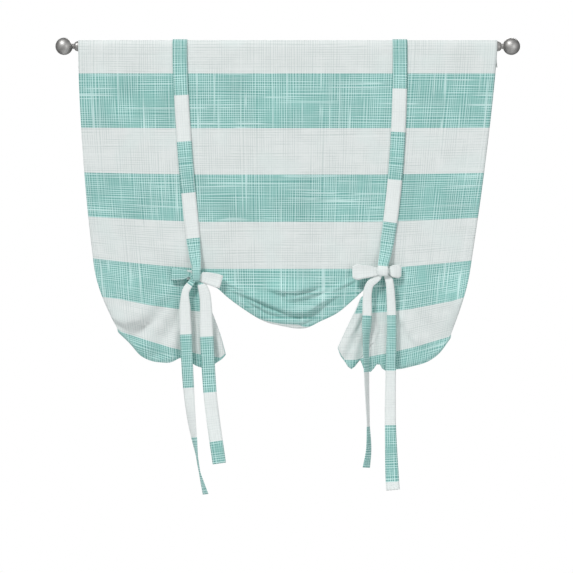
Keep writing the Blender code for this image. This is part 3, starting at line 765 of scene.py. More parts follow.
def pleat_relief(name, side, x, z):
    """How far the pleats round a knot stand out at a place."""
    toward_middle = side["knot"].x - side["sign"] * x
    down = side["knot"].z - z
    if down <= 0:
        return 0.0
    angle = math.degrees(math.atan2(toward_middle, down))
    reach = eased((math.hypot(toward_middle, down) - PLEAT_START) / PLEAT_REACH)
    relief = 0.0
    for centre, width, depth in PLEATS[name]:
        relief += depth * math.exp(-((angle - centre) / width) ** 2)
    return relief * reach


def ripple(x, z):
    """Slow waves of the hanging cloth, strongest low down."""
    grow = eased(-z / RIPPLE_DEPTH)
    waves = 0.5 * math.sin(x * 21 + 1.0) + 0.3 * math.sin(x * 37 + z * 5 + 2.1)
    waves += 0.2 * math.sin(x * 63 - z * 9)
    return RIPPLE_HEIGHT * grow * waves


def wing_billow(side, x):
    """How far a wing stands out, growing outward from the bow's tails."""
    share = (abs(x) - side["knot"].x - TIE_WIDTH) / BILLOW_REACH
    return WING_BILLOW * min(max(share, 0.0), 1.0)


print("swag's highest crest stands out", max(crest[1] for crest in SWAG_CRESTS) * 1000, "mm")

# %% [markdown]
# ## The front layer below the bows
# A column leaves the flat panel with the panel's lean, bends, and meets the lower outline at a
# right angle or nearly so. Three points and one curve through them give that. The folds are then
# added toward the viewer. A valley may only be shallow, or it would cut the layer behind.

# %% The route of a column
WING_BEND = 0.38
SWAG_BEND = 0.5
FLARE_BEND = 0.70
FLARE_DETOUR = 0.010
ARRIVAL_SHARE = 0.8
LEAN_SPAN = 0.05


def bend(route, share):
    """A point on the curve from the first of three points to the last, drawn toward the second."""
    start, control, end = route
    return start * (1 - share) ** 2 + control * (2 * share * (1 - share)) + end * share ** 2


def column_route(is_wing, column, into, radius):
    """The three points that a column is drawn through, and the direction out of the cloth at its end."""
    x_at_tie, low, _, _, toward_knot = column
    top = panel_point(x_at_tie, TIE_DEPTH)
    drop = (top - low).length
    slope = -(top.x - panel_point(x_at_tie, TIE_DEPTH - LEAN_SPAN).x) / LEAN_SPAN
    first_bend = WING_BEND if is_wing else SWAG_BEND
    control = top + Vector((-slope * first_bend * drop, 0.0, -first_bend * drop))
    if toward_knot:
        detour = FLARE_DETOUR * 4 * toward_knot * (1 - toward_knot)
        control.x += side_of(x_at_tie)["sign"] * detour
        control.z = top.z - (first_bend + (FLARE_BEND - first_bend) * toward_knot) * drop
    arrival = (low - control).normalized()
    outward = (arrival * ARRIVAL_SHARE - into * (1 - ARRIVAL_SHARE)).normalized()
    outward.y = 0.0
    return (top, control, low - outward * radius), outward


print("a wing's columns bend", WING_BEND, "of the way down")

# %% How far the front stands out
VALLEY_LIMIT = 0.0045
SWAG_EDGE_FADE = 0.020
SWAG_EDGE_RELIEF = 0.35
KNOT_RELIEF = 0.3


def front_lift(area, x_at_tie, point, share, drop):
    """How far a place of the front layer stands out, from its billow, pleats and folds."""
    if area == "swag":
        edge = eased((1 - share) * drop / SWAG_EDGE_FADE)
        folds = crest_relief(SWAG_CRESTS, point.x, point.z)
        return folds * (SWAG_EDGE_RELIEF + (1 - SWAG_EDGE_RELIEF) * edge)
    side = side_of(x_at_tie)
    lift = wing_billow(side, point.x) * math.sin(math.pi * share) ** 2
    lift += pleat_relief(area, side, point.x, point.z) * eased(share / 0.25)
    lift += crest_relief(WING_CRESTS[area], point.x, point.z)
    beside_knot = abs(abs(point.x) - side["knot"].x) - 0.010
    below_knot = side["knot"].z - point.z
    lift *= min(1.0, KNOT_RELIEF + eased(beside_knot / 0.03 + below_knot / 0.2))
    return lift if lift > 0 else lift / (1 - lift / VALLEY_LIMIT)


print("a valley is at most", VALLEY_LIMIT * 1000, "mm deep")

# %% [markdown]
# ## The layers behind
# Behind its front the cloth turns up, down and up again. Each layer follows the same route as the
# front, a little further back, and half circles join them. In a wing's layers the threads and
# the stripes run level, so a place on the cloth is told from its layer and its height.

# %% Folds between the layers
TIGHT_LAYER_GAP = 0.0070
LOOSE_LAYER_GAP = 0.0125
SECOND_LAYER_TOP = 0.012
THIRD_LAYER_REACH = 0.86
FOURTH_LAYER_TOP = 0.32
FOLD_STEPS = 5
LAYER_ROWS = 6
HIDDEN_LAYERS = 3
UPWARD = Vector((0.0, 0.0, 1.0))


def half_turn(centre, outward, radius):
    """Points round a fold, from its front to its back."""
    points = []
    for step in range(1, FOLD_STEPS + 1):
        angle = math.pi * step / (FOLD_STEPS + 1)
        back = Vector((0.0, -radius * math.cos(angle), 0.0))
        points.append(centre + back + outward * (radius * math.sin(angle)))
    return points


def hidden_rows(route, outward, drop, front_end_y, gap):
    """Points of the three layers behind the front and of the folds between them."""
    radius = gap / 2
    second_top = SECOND_LAYER_TOP / max(drop, 2 * SECOND_LAYER_TOP)
    depths = [route[0].y + gap * (number + 1) for number in range(HIDDEN_LAYERS)]

    def behind(share, y):
        """A place on the same route further back."""
        place = bend(route, share)
        return Vector((place.x, y, place.z))

    def layer(start, stop, y):
        """Rows of one layer between two places on the route."""
        return [behind(start + (stop - start) * row / LAYER_ROWS, y) for row in range(LAYER_ROWS + 1)]

    middle_y = (front_end_y + depths[0]) / 2
    points = half_turn(behind(1.0, middle_y), outward, (depths[0] - front_end_y) / 2)
    points += layer(1.0, second_top, depths[0])
    points += half_turn(behind(second_top, depths[0] + radius), UPWARD, radius)
    points += layer(second_top, THIRD_LAYER_REACH, depths[1])
    points += half_turn(behind(THIRD_LAYER_REACH, depths[1] + radius), outward, radius)
    return points + layer(THIRD_LAYER_REACH, FOURTH_LAYER_TOP, depths[2])


print("a column has", HIDDEN_LAYERS * (FOLD_STEPS + LAYER_ROWS + 1), "rows behind its front")

# %% Places in a wing's layers
LOWEST_FOLD = -TIE_DEPTH - WING_DROP
HIGHEST_FOLD = -TIE_DEPTH - SECOND_LAYER_TOP
THIRD_FOLD = -TIE_DEPTH - THIRD_LAYER_REACH * WING_DROP
FOLD_LENGTH = TIE_DEPTH + WING_DROP / WING_STRETCH


def level_length(number, z):
    """The place along the cloth of a height in a wing's hidden layer 0, 1 or 2."""
    rise = HIGHEST_FOLD - LOWEST_FOLD
    if number == 0:
        return FOLD_LENGTH + z - LOWEST_FOLD
    if number == 1:
        return FOLD_LENGTH + rise + HIGHEST_FOLD - z
    return FOLD_LENGTH + rise + HIGHEST_FOLD - THIRD_FOLD + z - THIRD_FOLD


def flat_rows(hidden):
    """The rows of the hidden part that lie in a layer and not in a turn, with the layer's number."""
    spacing = FOLD_STEPS + LAYER_ROWS + 1
    return [(row // spacing, value) for row, value in enumerate(hidden) if row % spacing >= FOLD_STEPS]


def through_turns(front_end, levels):
    """Values for all hidden rows, from the front's last one and those of the flat rows."""
    total = HIDDEN_LAYERS * (FOLD_STEPS + LAYER_ROWS + 1)
    known = [row for _, row in flat_rows(range(total))]
    return [float(value) for value in np.interp(range(total), [-1] + known, [front_end] + levels)]


def blended(first, second, share):
    """Two lists of numbers mixed by a share of the second."""
    return [one * (1 - share) + two * share for one, two in zip(first, second)]


HEM_LENGTH = level_length(2, -TIE_DEPTH - FOURTH_LAYER_TOP * WING_DROP)
print("a wing's bottom hem lies", round(HEM_LENGTH, 3), "m down the cloth")

# %% A column below the bows
FRONT_ROWS = (34, 10, 12)
FRONT_COUNT = sum(FRONT_ROWS) + 1
ROUTE_SAMPLES = 16
LOW_BILLOW = 0.6


def column_shares(length, stretch):
    """Row places down the front layer, closest where the stripes are."""
    first = min(STRIPE_LENGTH * stretch / length, 0.90)
    second = min(2 * STRIPE_LENGTH * stretch / length, first + 0.6 * (1 - first))
    shares = []
    for start, end, rows in zip((0.0, first, second), (first, second, 1.0), FRONT_ROWS):
        shares += [start + (end - start) * row / rows for row in range(rows)]
    return shares + [1.0]


def lower_column(area, column, into):
    """A column below the bows: its points, and the place of each one along the cloth."""
    x_at_tie, low, open_share, stretch, toward_knot = column
    is_wing = area != "swag"
    gap = TIGHT_LAYER_GAP + (LOOSE_LAYER_GAP - TIGHT_LAYER_GAP) * open_share
    route, outward = column_route(is_wing, column, into, gap / 2)
    top = route[0]
    drop = (top - low).length
    low_y = top.y - LOW_BILLOW * wing_billow(side_of(x_at_tie), low.x) if is_wing else top.y
    route[2].y = low_y
    length = lengths_along([bend(route, step / ROUTE_SAMPLES) for step in range(ROUTE_SAMPLES + 1)])[-1]

    points, cloth = [], []
    for share in column_shares(length, stretch):
        point = bend(route, share)
        point.y = top.y + (low_y - top.y) * share
        point.y -= front_lift(area, x_at_tie, point, share, drop) + ripple(point.x, point.z)
        points.append(point)
        cloth.append(TIE_DEPTH + share * length / stretch)
    points += hidden_rows(route, outward, drop, points[-1].y, gap)
    by_route = [cloth[-1] + more for more in lengths_along(points[FRONT_COUNT - 1:])[1:]]
    if not is_wing:
        return points, cloth + by_route
    levels = [level_length(number, point.z) for number, point in flat_rows(points[FRONT_COUNT:])]
    by_height = through_turns(cloth[-1], levels)
    return points, cloth + blended(by_height, by_route, eased(toward_knot))


print("rows of the front layer:", FRONT_COUNT)

# %% [markdown]
# ## The upper part and the pocket
# The rod pocket is the same cloth taken over the rod and sewn down behind, with some slack above
# the tube. Below its seam the panel hangs nearly flat, so its rows only carry a slow ripple and a
# slight pucker along the seam.

# %% A column above the bows
UPPER_ROWS = 60
POCKET_ROWS = 18
POCKET_SLACK = 0.13
POCKET_START = -12
PUCKER = 0.0006
# Distance behind the rod's axis in shares of its radius, and depth in shares of the pocket's
POCKET_BACK = ((0.35, 0.72), (0.80, 0.42))
POCKET_BACK_STEPS = 4
PUCKERED_ROWS = 4
PUCKER_REACH = 0.012


def upper_column(x_at_tie):
    """The rod pocket from its seam at the back over the rod, then the flat front."""
    radius = ROD_RADIUS + GAP + CLOTH_THICKNESS / 2
    side = side_of(x_at_tie)
    x_top = x_at_tie * (CLOTH_WIDTH / 2) / edge_lateral(side, TIE_DEPTH)
    seam_y = front_y(POCKET_DEPTH) + CLOTH_THICKNESS + GAP
    points = [Vector((x_top, seam_y, -POCKET_DEPTH))]
    points += [Vector((x_top, radius * back, -down * POCKET_DEPTH)) for back, down in POCKET_BACK]
    points = smooth_path(points, POCKET_BACK_STEPS)
    for step in range(POCKET_ROWS + 1):
        angle = math.radians(POCKET_START + step * 180 / POCKET_ROWS)
        rise = 1 + POCKET_SLACK * max(math.sin(angle), 0.0)
        points.append(Vector((x_top, radius * math.cos(angle), radius * rise * math.sin(angle))))
    lengths = lengths_along(points)
    cloth = [length - lengths[-1] for length in lengths]
    pucker = PUCKER * math.sin(x_top * 410) * (0.6 + 0.4 * math.sin(x_top * 97))
    for point in points[:PUCKERED_ROWS]:
        point.y += pucker
    for row in range(1, UPPER_ROWS):
        depth = TIE_DEPTH * row / UPPER_ROWS
        point = panel_point(x_at_tie, depth)
        point.y -= ripple(point.x, point.z)
        if depth < 2 * POCKET_DEPTH:
            point.y -= pucker * math.exp(-((depth - POCKET_DEPTH) / PUCKER_REACH) ** 2)
        points.append(point)
        cloth.append(depth)
    return points, cloth


pocket_back = -upper_column(columns[-1][0])[1][0]
print("pocket's back takes", round(pocket_back, 3), "m of cloth")

# %% [markdown]
# ## Stripes
# The stripes are printed across the cloth at set lengths. Above the bows the count of colour
# fields follows from the place along the cloth. Below them the drawn-in cloth tilts each field,
# so a few measured points give the edge of each one. Behind, the count runs on to the hem.

# %% Edges of the colour fields
# Where a new colour field starts on the lower part: (x, z) points in metres
WHITE_STARTS = {
    "left": ((-0.492, -0.637), (-0.428, -0.644), (-0.402, -0.650), (-0.351, -0.660), (-0.300, -0.667),
             (-0.234, -0.675), (-0.186, -0.680)),
    "swag": ((-0.084, -0.703), (-0.043, -0.7045), (-0.007, -0.7080), (0.029, -0.7090), (0.041, -0.7170),
             (0.062, -0.727)),
    "right": ((0.164, -0.682), (0.207, -0.680), (0.245, -0.678), (0.312, -0.670), (0.363, -0.660),
              (0.414, -0.650), (0.465, -0.634)),
}
TEAL_STARTS = {
    "left": ((-0.453, -0.718), (-0.402, -0.734), (-0.351, -0.751), (-0.300, -0.767), (-0.234, -0.783),
             (-0.186, -0.792), (-0.158, -0.795)),
    "swag": ((-0.20, -0.90), (0.20, -0.90)),
    "right": ((0.133, -0.800), (0.177, -0.799), (0.207, -0.791), (0.245, -0.784), (0.312, -0.769),
              (0.363, -0.754), (0.414, -0.739), (0.465, -0.726)),
}
# The count at the bottom fold and at the bottom hem, in the hidden layers
FOLD_FIELD = 7.3
HEM_FIELD = 11.6
FIELDS_ABOVE = len(TOP_STRIPE_ENDS)
print(FIELDS_ABOVE, "colour fields above the bows")

# %% Counting the colour fields
def stripe_count(cloth):
    """The number of colour fields passed above the bows at a place along the cloth."""
    marks = [-STRIPE_LENGTH * 2, *TOP_STRIPE_ENDS]
    counts = [-2.0] + [float(number + 1) for number in range(len(TOP_STRIPE_ENDS))]
    return float(np.interp(cloth, marks, counts)) if cloth > 0 else 0.5


def level_at(line, x):
    """The height of a line through (x, z) points."""
    return float(np.interp(x, [point[0] for point in line], [point[1] for point in line]))


def front_counts(area, points, top):
    """The count at each point of a column's front layer below the bows."""
    counts = []
    for point in points:
        white, teal = level_at(WHITE_STARTS[area], point.x), level_at(TEAL_STARTS[area], point.x)
        levels = (teal - STRIPE_LENGTH, teal, white, top)
        fields = (FIELDS_ABOVE + 3, FIELDS_ABOVE + 2, FIELDS_ABOVE + 1, FIELDS_ABOVE)
        counts.append(float(np.interp(point.z, levels, fields)))
    return counts


def hidden_counts(area, points, cloth, last_count, toward_knot):
    """The count at each point of a column's layers behind the front."""
    start, end = cloth[FRONT_COUNT - 1], cloth[-1]
    shares = [(length - start) / (end - start) for length in cloth[FRONT_COUNT:]]
    by_route = [last_count * (1 - share) + HEM_FIELD * share for share in shares]
    if area == "swag":
        return by_route
    rate = (HEM_FIELD - FOLD_FIELD) / (HEM_LENGTH - FOLD_LENGTH)
    levels = [FOLD_FIELD + (level_length(number, point.z) - FOLD_LENGTH) * rate
              for number, point in flat_rows(points[FRONT_COUNT:])]
    return blended(through_turns(last_count, levels), by_route, eased(toward_knot))


print("the hem is at count", HEM_FIELD)

# %% [markdown]
# ## One mesh from the columns
# The grid of columns becomes a mesh of four-sided faces. It gets its UV map in metres and the
# stripe number on each point, and Solidify gives it its thickness. On the wings' fronts the
# level threads run along the colour fields, because the print and the threads are one pattern.

# %% From a grid to a mesh
PANEL_THICKNESS = 0.0008


def sheet_mesh(name, grid, uvs, stripes):
    """A mesh from a grid of points, with a UV map in metres and a stripe number on each point."""
    columns, rows = len(grid), len(grid[0])
    flat = [point for column in grid for point in column]
    faces = []
    for column in range(columns - 1):
        for row in range(rows - 1):
            a = column * rows + row
            faces.append((a, a + 1, a + rows + 1, a + rows))
    data = bpy.data.meshes.new(name)
    data.from_pydata([tuple(p) for p in flat], [], faces)
    layer = data.uv_layers.new(name="UVMap")
    flat_uv = [uv for column in uvs for uv in column]
    for loop in data.loops:
        layer.data[loop.index].uv = flat_uv[loop.vertex_index]
    attribute = data.attributes.new("stripe", "FLOAT", "POINT")
    attribute.data.foreach_set("value", [value for column in stripes for value in column])
    data.shade_smooth()
    return data


def plain(item):
    """Turn an object with modifiers into a plain mesh object of the same name."""
    graph = bpy.context.evaluated_depsgraph_get()
    data = bpy.data.meshes.new_from_object(item.evaluated_get(graph))
    name, materials = item.name, list(item.data.materials)
    bpy.data.objects.remove(item, do_unlink=True)
    made = bpy.data.objects.new(name, data)
    scene.collection.objects.link(made)
    if not data.materials:
        for material in materials:
            data.materials.append(material)
    print(name, len(data.polygons), "faces")
    return made


def cloth_object(name, grid, uvs, stripes, finish, thickness):
    """A finished piece of cloth from a grid of points."""
    data = sheet_mesh(name, grid, uvs, stripes)
    item = bpy.data.objects.new(name, data)
    scene.collection.objects.link(item)
    data.materials.append(finish)
    solid = item.modifiers.new("thickness", "SOLIDIFY")
    solid.thickness = thickness
    solid.offset = 0.0
    return plain(item)


print("the panel's cloth is", PANEL_THICKNESS * 1000, "mm thick")

# %% The panel
grid, panel_uvs, panel_stripes = [], [], []
for index, column in enumerate(columns):
    in_swag = len(left) <= index < len(left) + len(middle)
    area = "swag" if in_swag else ("left" if column[0] < 0 else "right")
    upper, upper_cloth = upper_column(column[0])
    lower, lower_cloth = lower_column(area, column, inward(lows, index))
    counts = front_counts(area, lower[:FRONT_COUNT], lower[0].z)
    counts += hidden_counts(area, lower, lower_cloth, counts[-1], column[-1])
    if area != "swag":
        lower_cloth[:FRONT_COUNT] = [TIE_DEPTH + (count - FIELDS_ABOVE) * STRIPE_LENGTH
                                     for count in counts[:FRONT_COUNT]]
    us = [upper[0].x] * len(upper) + [across_cloth(point, lower[0].z) for point in lower]
    grid.append(upper + lower)
    panel_uvs.append(list(zip(us, upper_cloth + lower_cloth)))
    panel_stripes.append([stripe_count(length) for length in upper_cloth] + counts)
panel = cloth_object("curtain_cloth", grid, panel_uvs, panel_stripes, panel_cloth, PANEL_THICKNESS)

# %% [markdown]
# ## Ties and bows
# Each tie is a narrow strip of the same cloth, turned in at its edges and stitched. A strip that
# is bent into a bow cups a little across its width and creases toward the knot. So each tie is
# drawn as a path with a direction across, a width and a cup at each station.

# %% A strip along stations
STRIP_STEP = 0.004
STRIP_CUTS = 6
STRIP_THICKNESS = 0.0012


def strip_stations(stations):
    """Stations with points added where the spans are long: (centre, across, width, cup)."""
    spots = [Vector(station[0]) for station in stations]
    ends = [spots[0] * 2 - spots[1]] + spots + [spots[-1] * 2 - spots[-2]]
    result = []
    for index, (station, following) in enumerate(zip(stations, stations[1:])):
        span = (spots[index + 1] - spots[index]).length
        steps = max(round(span / STRIP_STEP), 2)
        for step in range(steps):
            share = step / steps
            ease = eased(share)
            result.append((
                between(*ends[index:index + 4], share),
                Vector(station[1]).lerp(Vector(following[1]), share).normalized(),
                station[2] + (following[2] - station[2]) * ease,
                station[3] + (following[3] - station[3]) * ease,
            ))
    _, across, width, cup = stations[-1]
    return result + [(spots[-1], Vector(across).normalized(), width, cup)]


def make_strip(name, spots, lengths, changes, first):
    """A cloth strip. changes are the lengths at which its colour changes; first is 1 for teal."""
    rings, uvs = [], []
    for index, (centre, across, width, cup) in enumerate(spots):
        ahead = spots[min(index + 1, len(spots) - 1)][0]
        behind = spots[max(index - 1, 0)][0]
        along = (ahead - behind).normalized()
        across = (across - along * across.dot(along)).normalized()
        normal = along.cross(across)
        ring, ring_uv = [], []
        for cut in range(STRIP_CUTS + 1):
            share = 2 * cut / STRIP_CUTS - 1
            sag = cup * (1 - share * share)
            ring.append(centre + across * (share * width / 2) + normal * sag)
            ring_uv.append((share * TIE_WIDTH / 2, lengths[index]))
        rings.append(ring)
        uvs.append(ring_uv)
    marks = [0.0] + changes + [lengths[-1] + 1.0]
    stripes = [[float(np.interp(length, marks, range(len(marks)))) + first] * (STRIP_CUTS + 1)
               for length in lengths]
    return cloth_object(name, rings, uvs, stripes, tie_cloth, STRIP_THICKNESS), rings


print("a tie has", STRIP_CUTS, "faces across")

# %% Sizes of the bows
# Loops: reach, rise, width at the knot, width at the end. Tails: (drop from the knot, shift toward
# mid-width, width, turn in degrees). The knot's size is its width at the top, its width in the
# middle and half its height.
BOWS = {
    "left": {
        "tie_top": 0.2745,
        "tie_curve": 1.6,
        "pass_under": (0.0165, 0.25, 0.20),
        "knot_size": (0.022, 0.021, 0.014),
        "loop_rounding": 0.96,
        "loop_return": (0.012, 0.0),
        "inner_loop": (0.063, -0.018, 0.029, 0.035),
        "outer_loop": (0.064, 0.001, 0.024, 0.032),
        "inner_tail": (
            (0.0280, 0.0150, 0.024, 0), (0.055, 0.0219, 0.029, 0), (0.153, 0.026, 0.034, 0),
            (0.293, 0.034, 0.034, 10), (0.365, 0.042, 0.034, 0), (0.478, 0.058, 0.034, 5),
        ),
        "outer_tail": (
            (0.041, -0.027, 0.019, 0), (0.087, -0.029, 0.028, 0), (0.148, -0.027, 0.030, 0),
            (0.286, -0.020, 0.030, 22), (0.370, -0.012, 0.030, 45), (0.412, -0.006, 0.030, 60),
            (0.459, 0.001, 0.030, 80), (0.500, 0.008, 0.030, 82), (0.556, 0.023, 0.030, 60),
        ),
    },
    "right": {
        "tie_top": 0.2855,
        "tie_curve": 2.4,
        "pass_under": (0.0402, 0.311, 0.255),
        "knot_size": (0.026, 0.029, 0.0098),
        "loop_rounding": 0.66,
        "loop_return": (0.023, 0.005),
        "inner_loop": (0.077, -0.003, 0.024, 0.041),
        "outer_loop": (0.047, -0.001, 0.029, 0.035),
        "inner_tail": (
            (0.033, 0.032, 0.020, 0), (0.050, 0.038, 0.022, 0), (0.109, 0.040, 0.024, 0),
            (0.163, 0.042, 0.028, 50), (0.214, 0.042, 0.029, 61), (0.277, 0.041, 0.029, 64),
            (0.390, 0.037, 0.029, 75), (0.453, 0.036, 0.029, 62), (0.498, 0.042, 0.029, 50),
        ),
        "outer_tail": (
            (0.024, -0.016, 0.020, 0), (0.109, -0.022, 0.023, 0), (0.252, -0.020, 0.026, 0),
            (0.379, -0.019, 0.028, 0), (0.529, -0.024, 0.034, 0), (0.555, -0.026, 0.035, 0),
        ),
    },
}
TIE_THICKNESS = 0.0011
BAND_WIDTH = 0.016
PINCH_WIDTH = 0.012
LOOP_ROOT = 0.017
TAIL_STEP = 0.0024
BOW_LAYER = 0.004
TAIL_REST = 0.020
TAIL_SETTLED = 0.06
BACK_STAND = 0.044
LEVEL = Vector((1.0, 0.0, 0.0))
for name, bow in BOWS.items():
    SIDES[name].update(bow)
    print(name, "bow's loops reach", bow["inner_loop"][0], "and", bow["outer_loop"][0], "m")

# %% Loops and tails
LOOP_PUFF = 0.0020
TAIL_CUP = 0.0010


def tie_lateral(side, depth):
    """Centre of the tie's straight run at a depth."""
    share = min(depth / TIE_DEPTH, 1.0)
    return side["tie_top"] + (side["knot"].x - side["tie_top"]) * share ** side["tie_curve"]


def loop_stations(side, loop, outward, out_y, back_y):
    """One loop of the bow: out from the knot, round its end and back."""
    knot = side["knot"]
    reach, rise, root_width, end_width = loop
    across = Vector((outward * rise / reach, 0.0, -1.0)).normalized() * outward
    front = min(out_y, back_y) - 0.5 * BOW_LAYER
    rear = max(out_y, back_y)
    out_end, back_end = (front, rear) if out_y < back_y else (rear, front)
    root = LOOP_ROOT / reach
    middle = 0.5 * (root + 0.90)
    middle_width = 0.5 * (root_width + end_width)
    puff = LOOP_PUFF if out_y < back_y else -LOOP_PUFF
    return_width, forward = (PINCH_WIDTH, 0.0) if out_y < back_y else side["loop_return"]
    rounding = side["loop_rounding"]
    shoulder_width = end_width * (0.5 + 0.5 * rounding)
    places = (
        (root, out_y, root_width, 0.0),
        (middle, out_end, middle_width, puff),
        (0.84, out_end, end_width, puff),
        (0.95, out_end, shoulder_width, 0.0),
        (1.0, 0.5 * (out_end + back_end), end_width * rounding, 0.0),
        (0.95, back_end, shoulder_width, 0.0),
        (0.84, back_end, end_width, -puff),
        (middle, back_end - forward, middle_width, 0.0),
        (root, back_y - forward, return_width, 0.0),
    )
    return [((knot.x + outward * reach * share, y, knot.z + rise * share), across, width, cup)
            for share, y, width, cup in places]


def turn_down(knot, outward, y):
    """The quarter turn in which a loop's end becomes a tail."""
    lean = Vector((0.6, 0.0, -0.8 * outward))
    return [
        ((knot.x + outward * 0.0125, y, knot.z - 0.0025), lean, PINCH_WIDTH, 0.0),
        ((knot.x + outward * 0.0095, y - 0.6 * TAIL_STEP, knot.z - 0.0090), LEVEL, PINCH_WIDTH, 0.0),
        ((knot.x + outward * 0.0115, y - TAIL_STEP, knot.z - 0.0160), LEVEL, BAND_WIDTH, 0.0),
    ]


def tail_stations(side, tail, start_y):
    """A tail hanging from the knot."""
    knot = side["knot"]
    rest_y = front_y(TIE_DEPTH) - TAIL_REST
    start_y -= TAIL_STEP
    stations = []
    for drop, shift, width, turn in tail:
        angle = math.radians(turn)
        across = Vector((math.cos(angle), math.sin(angle), 0.0))
        y = start_y + (rest_y - start_y) * min(drop / TAIL_SETTLED, 1.0)
        stations.append(((knot.x - shift, y, knot.z - drop), across, width, TAIL_CUP))
    return stations


print("a loop's ends are", BOW_LAYER * 1000, "mm apart")

# %% [markdown]
# ## The way of each tie
# The front tie comes over the pocket and down the front, makes the knot's band, goes out and back
# as the inner loop and hangs down. The back tie goes down behind, under the gathered cloth and
# up through the knot, and makes the outer loop. Each way is a list of stations.

# %% The front tie
# Depth, distance from the cloth, and width on the straight run
FRONT_RUN = (
    (0.06, 0.0008, TIE_WIDTH), (0.18, 0.0012, TIE_WIDTH), (0.30, 0.0014, TIE_WIDTH),
    (0.42, 0.0016, TIE_WIDTH), (0.49, 0.003, 0.035), (0.53, 0.010, 0.030),
)


def over_the_pocket(side):
    """From the back of the pocket over the rod and down the front."""
    wrap = ROD_RADIUS + GAP + CLOTH_THICKNESS + 3 * GAP + TIE_THICKNESS / 2
    stations = []
    for degrees in range(20, 181, 20):
        angle = math.radians(degrees)
        rise = wrap * (1 + POCKET_SLACK * math.sin(angle))
        place = (side["tie_top"], wrap * math.cos(angle), rise * math.sin(angle))
        stations.append((place, LEVEL, TIE_WIDTH, 0.0))
    lie = CLOTH_THICKNESS / 2 + TIE_THICKNESS / 2 + 3 * GAP
    for depth, stand, width in FRONT_RUN:
        place = (tie_lateral(side, depth), front_y(depth) - lie - stand, -depth)
        stations.append((place, LEVEL, width, 0.0004))
    return stations


def front_tie_stations(side):
    """Over the pocket, down the front, round the knot, inner loop, inner tail."""
    knot = side["knot"]
    face = front_y(TIE_DEPTH) - 2 * BOW_LAYER
    band_y, out_y, back_y = (face - BOW_LAYER * step for step in (4, 3, 2))
    top_width, knot_width, knot_half = side["knot_size"]
    stations = over_the_pocket(side) + [
        ((knot.x, band_y + 0.0010, knot.z + knot_half + 0.003), LEVEL, top_width, 0.0010),
        ((knot.x, band_y - 0.0010, knot.z + 0.5 * knot_half), LEVEL, knot_width, 0.0018),
        ((knot.x, band_y - 0.0010, knot.z - 0.4 * knot_half), LEVEL, knot_width, 0.0018),
        ((knot.x, band_y, knot.z - knot_half), LEVEL, 0.8 * knot_width, 0.0012),
        ((knot.x, (band_y + out_y) / 2, knot.z - knot_half - 0.0025), LEVEL, BAND_WIDTH, 0.0),
        ((knot.x, out_y, knot.z - 0.012), LEVEL, PINCH_WIDTH, 0.0),
        ((knot.x, out_y, knot.z - 0.005), LEVEL, PINCH_WIDTH, 0.0),
        ((knot.x - 0.0023, out_y, knot.z + 0.001), Vector((0.7, 0.0, 0.7)), PINCH_WIDTH, 0.0),
        ((knot.x - 0.008, out_y, knot.z + 0.003), Vector((0.0, 0.0, 1.0)), PINCH_WIDTH, 0.0),
    ]
    stations += loop_stations(side, side["inner_loop"], -1, out_y, back_y)
    stations += turn_down(knot, -1, back_y)
    return stations + tail_stations(side, side["inner_tail"], back_y)


print("the left front tie is set out with", len(front_tie_stations(SIDES["left"])), "stations")

# %% The back tie
def back_tie_stations(side):
    """Down the back, under the gathered cloth, up behind the knot, outer loop, outer tail."""
    knot = side["knot"]
    out_y = front_y(TIE_DEPTH) - 2 * BOW_LAYER
    back_y = out_y - BOW_LAYER
    inset, swag_share, wing_share = side["pass_under"]
    under = -TIE_DEPTH - 0.5 * (swag_share * SWAG_DROP + wing_share * WING_DROP)
    under_x = knot.x - inset
    start = POCKET_DEPTH + 0.005
    start_y = front_y(start) + CLOTH_THICKNESS / 2 + TIE_THICKNESS / 2 + GAP
    rear_y = front_y(TIE_DEPTH) + BACK_STAND
    stations = []
    for share in (0.0, 0.25, 0.5, 0.75, 1.0):
        depth = start + (TIE_DEPTH - start) * share
        place = (tie_lateral(side, depth), start_y + (rear_y - start_y) * share, -depth)
        stations.append((place, LEVEL, TIE_WIDTH if share < 1 else 0.030, 0.0003))
    stations += [
        ((under_x + 0.004, rear_y, under + 0.020), LEVEL, BAND_WIDTH, 0.0),
        ((under_x, rear_y - 0.006, under + 0.002), LEVEL, PINCH_WIDTH, 0.0),
        ((under_x, front_y(TIE_DEPTH) + 0.5 * BACK_STAND, under), LEVEL, PINCH_WIDTH, 0.0),
        ((under_x, front_y(TIE_DEPTH), under), LEVEL, PINCH_WIDTH, 0.0),
        ((under_x, out_y, under + 0.006), LEVEL, PINCH_WIDTH, 0.0),
        ((knot.x - 0.010, out_y, knot.z - 0.013), Vector((1.0, 0.0, -0.2)), PINCH_WIDTH, 0.0),
        ((knot.x - 0.0065, out_y, knot.z - 0.005), Vector((0.7, 0.0, -0.7)), PINCH_WIDTH, 0.0),
        ((knot.x, out_y, knot.z - 0.002), Vector((0.0, 0.0, -1.0)), PINCH_WIDTH, 0.0),
    ]
    stations += loop_stations(side, side["outer_loop"], 1, out_y, back_y)
    stations += turn_down(knot, 1, back_y)
    return stations + tail_stations(side, side["outer_tail"], back_y)


def mirror_stations(stations, sign):
    """Stations given as laterals, placed on the left or the right."""
    placed = []
    for (x, y, z), across, width, cup in stations:
        turned_across = Vector((sign * across[0], across[1], across[2]))
        placed.append(((sign * x, y, z), turned_across, width, cup * sign))
    return placed


print("the left back tie is set out with", len(back_tie_stations(SIDES["left"])), "stations")

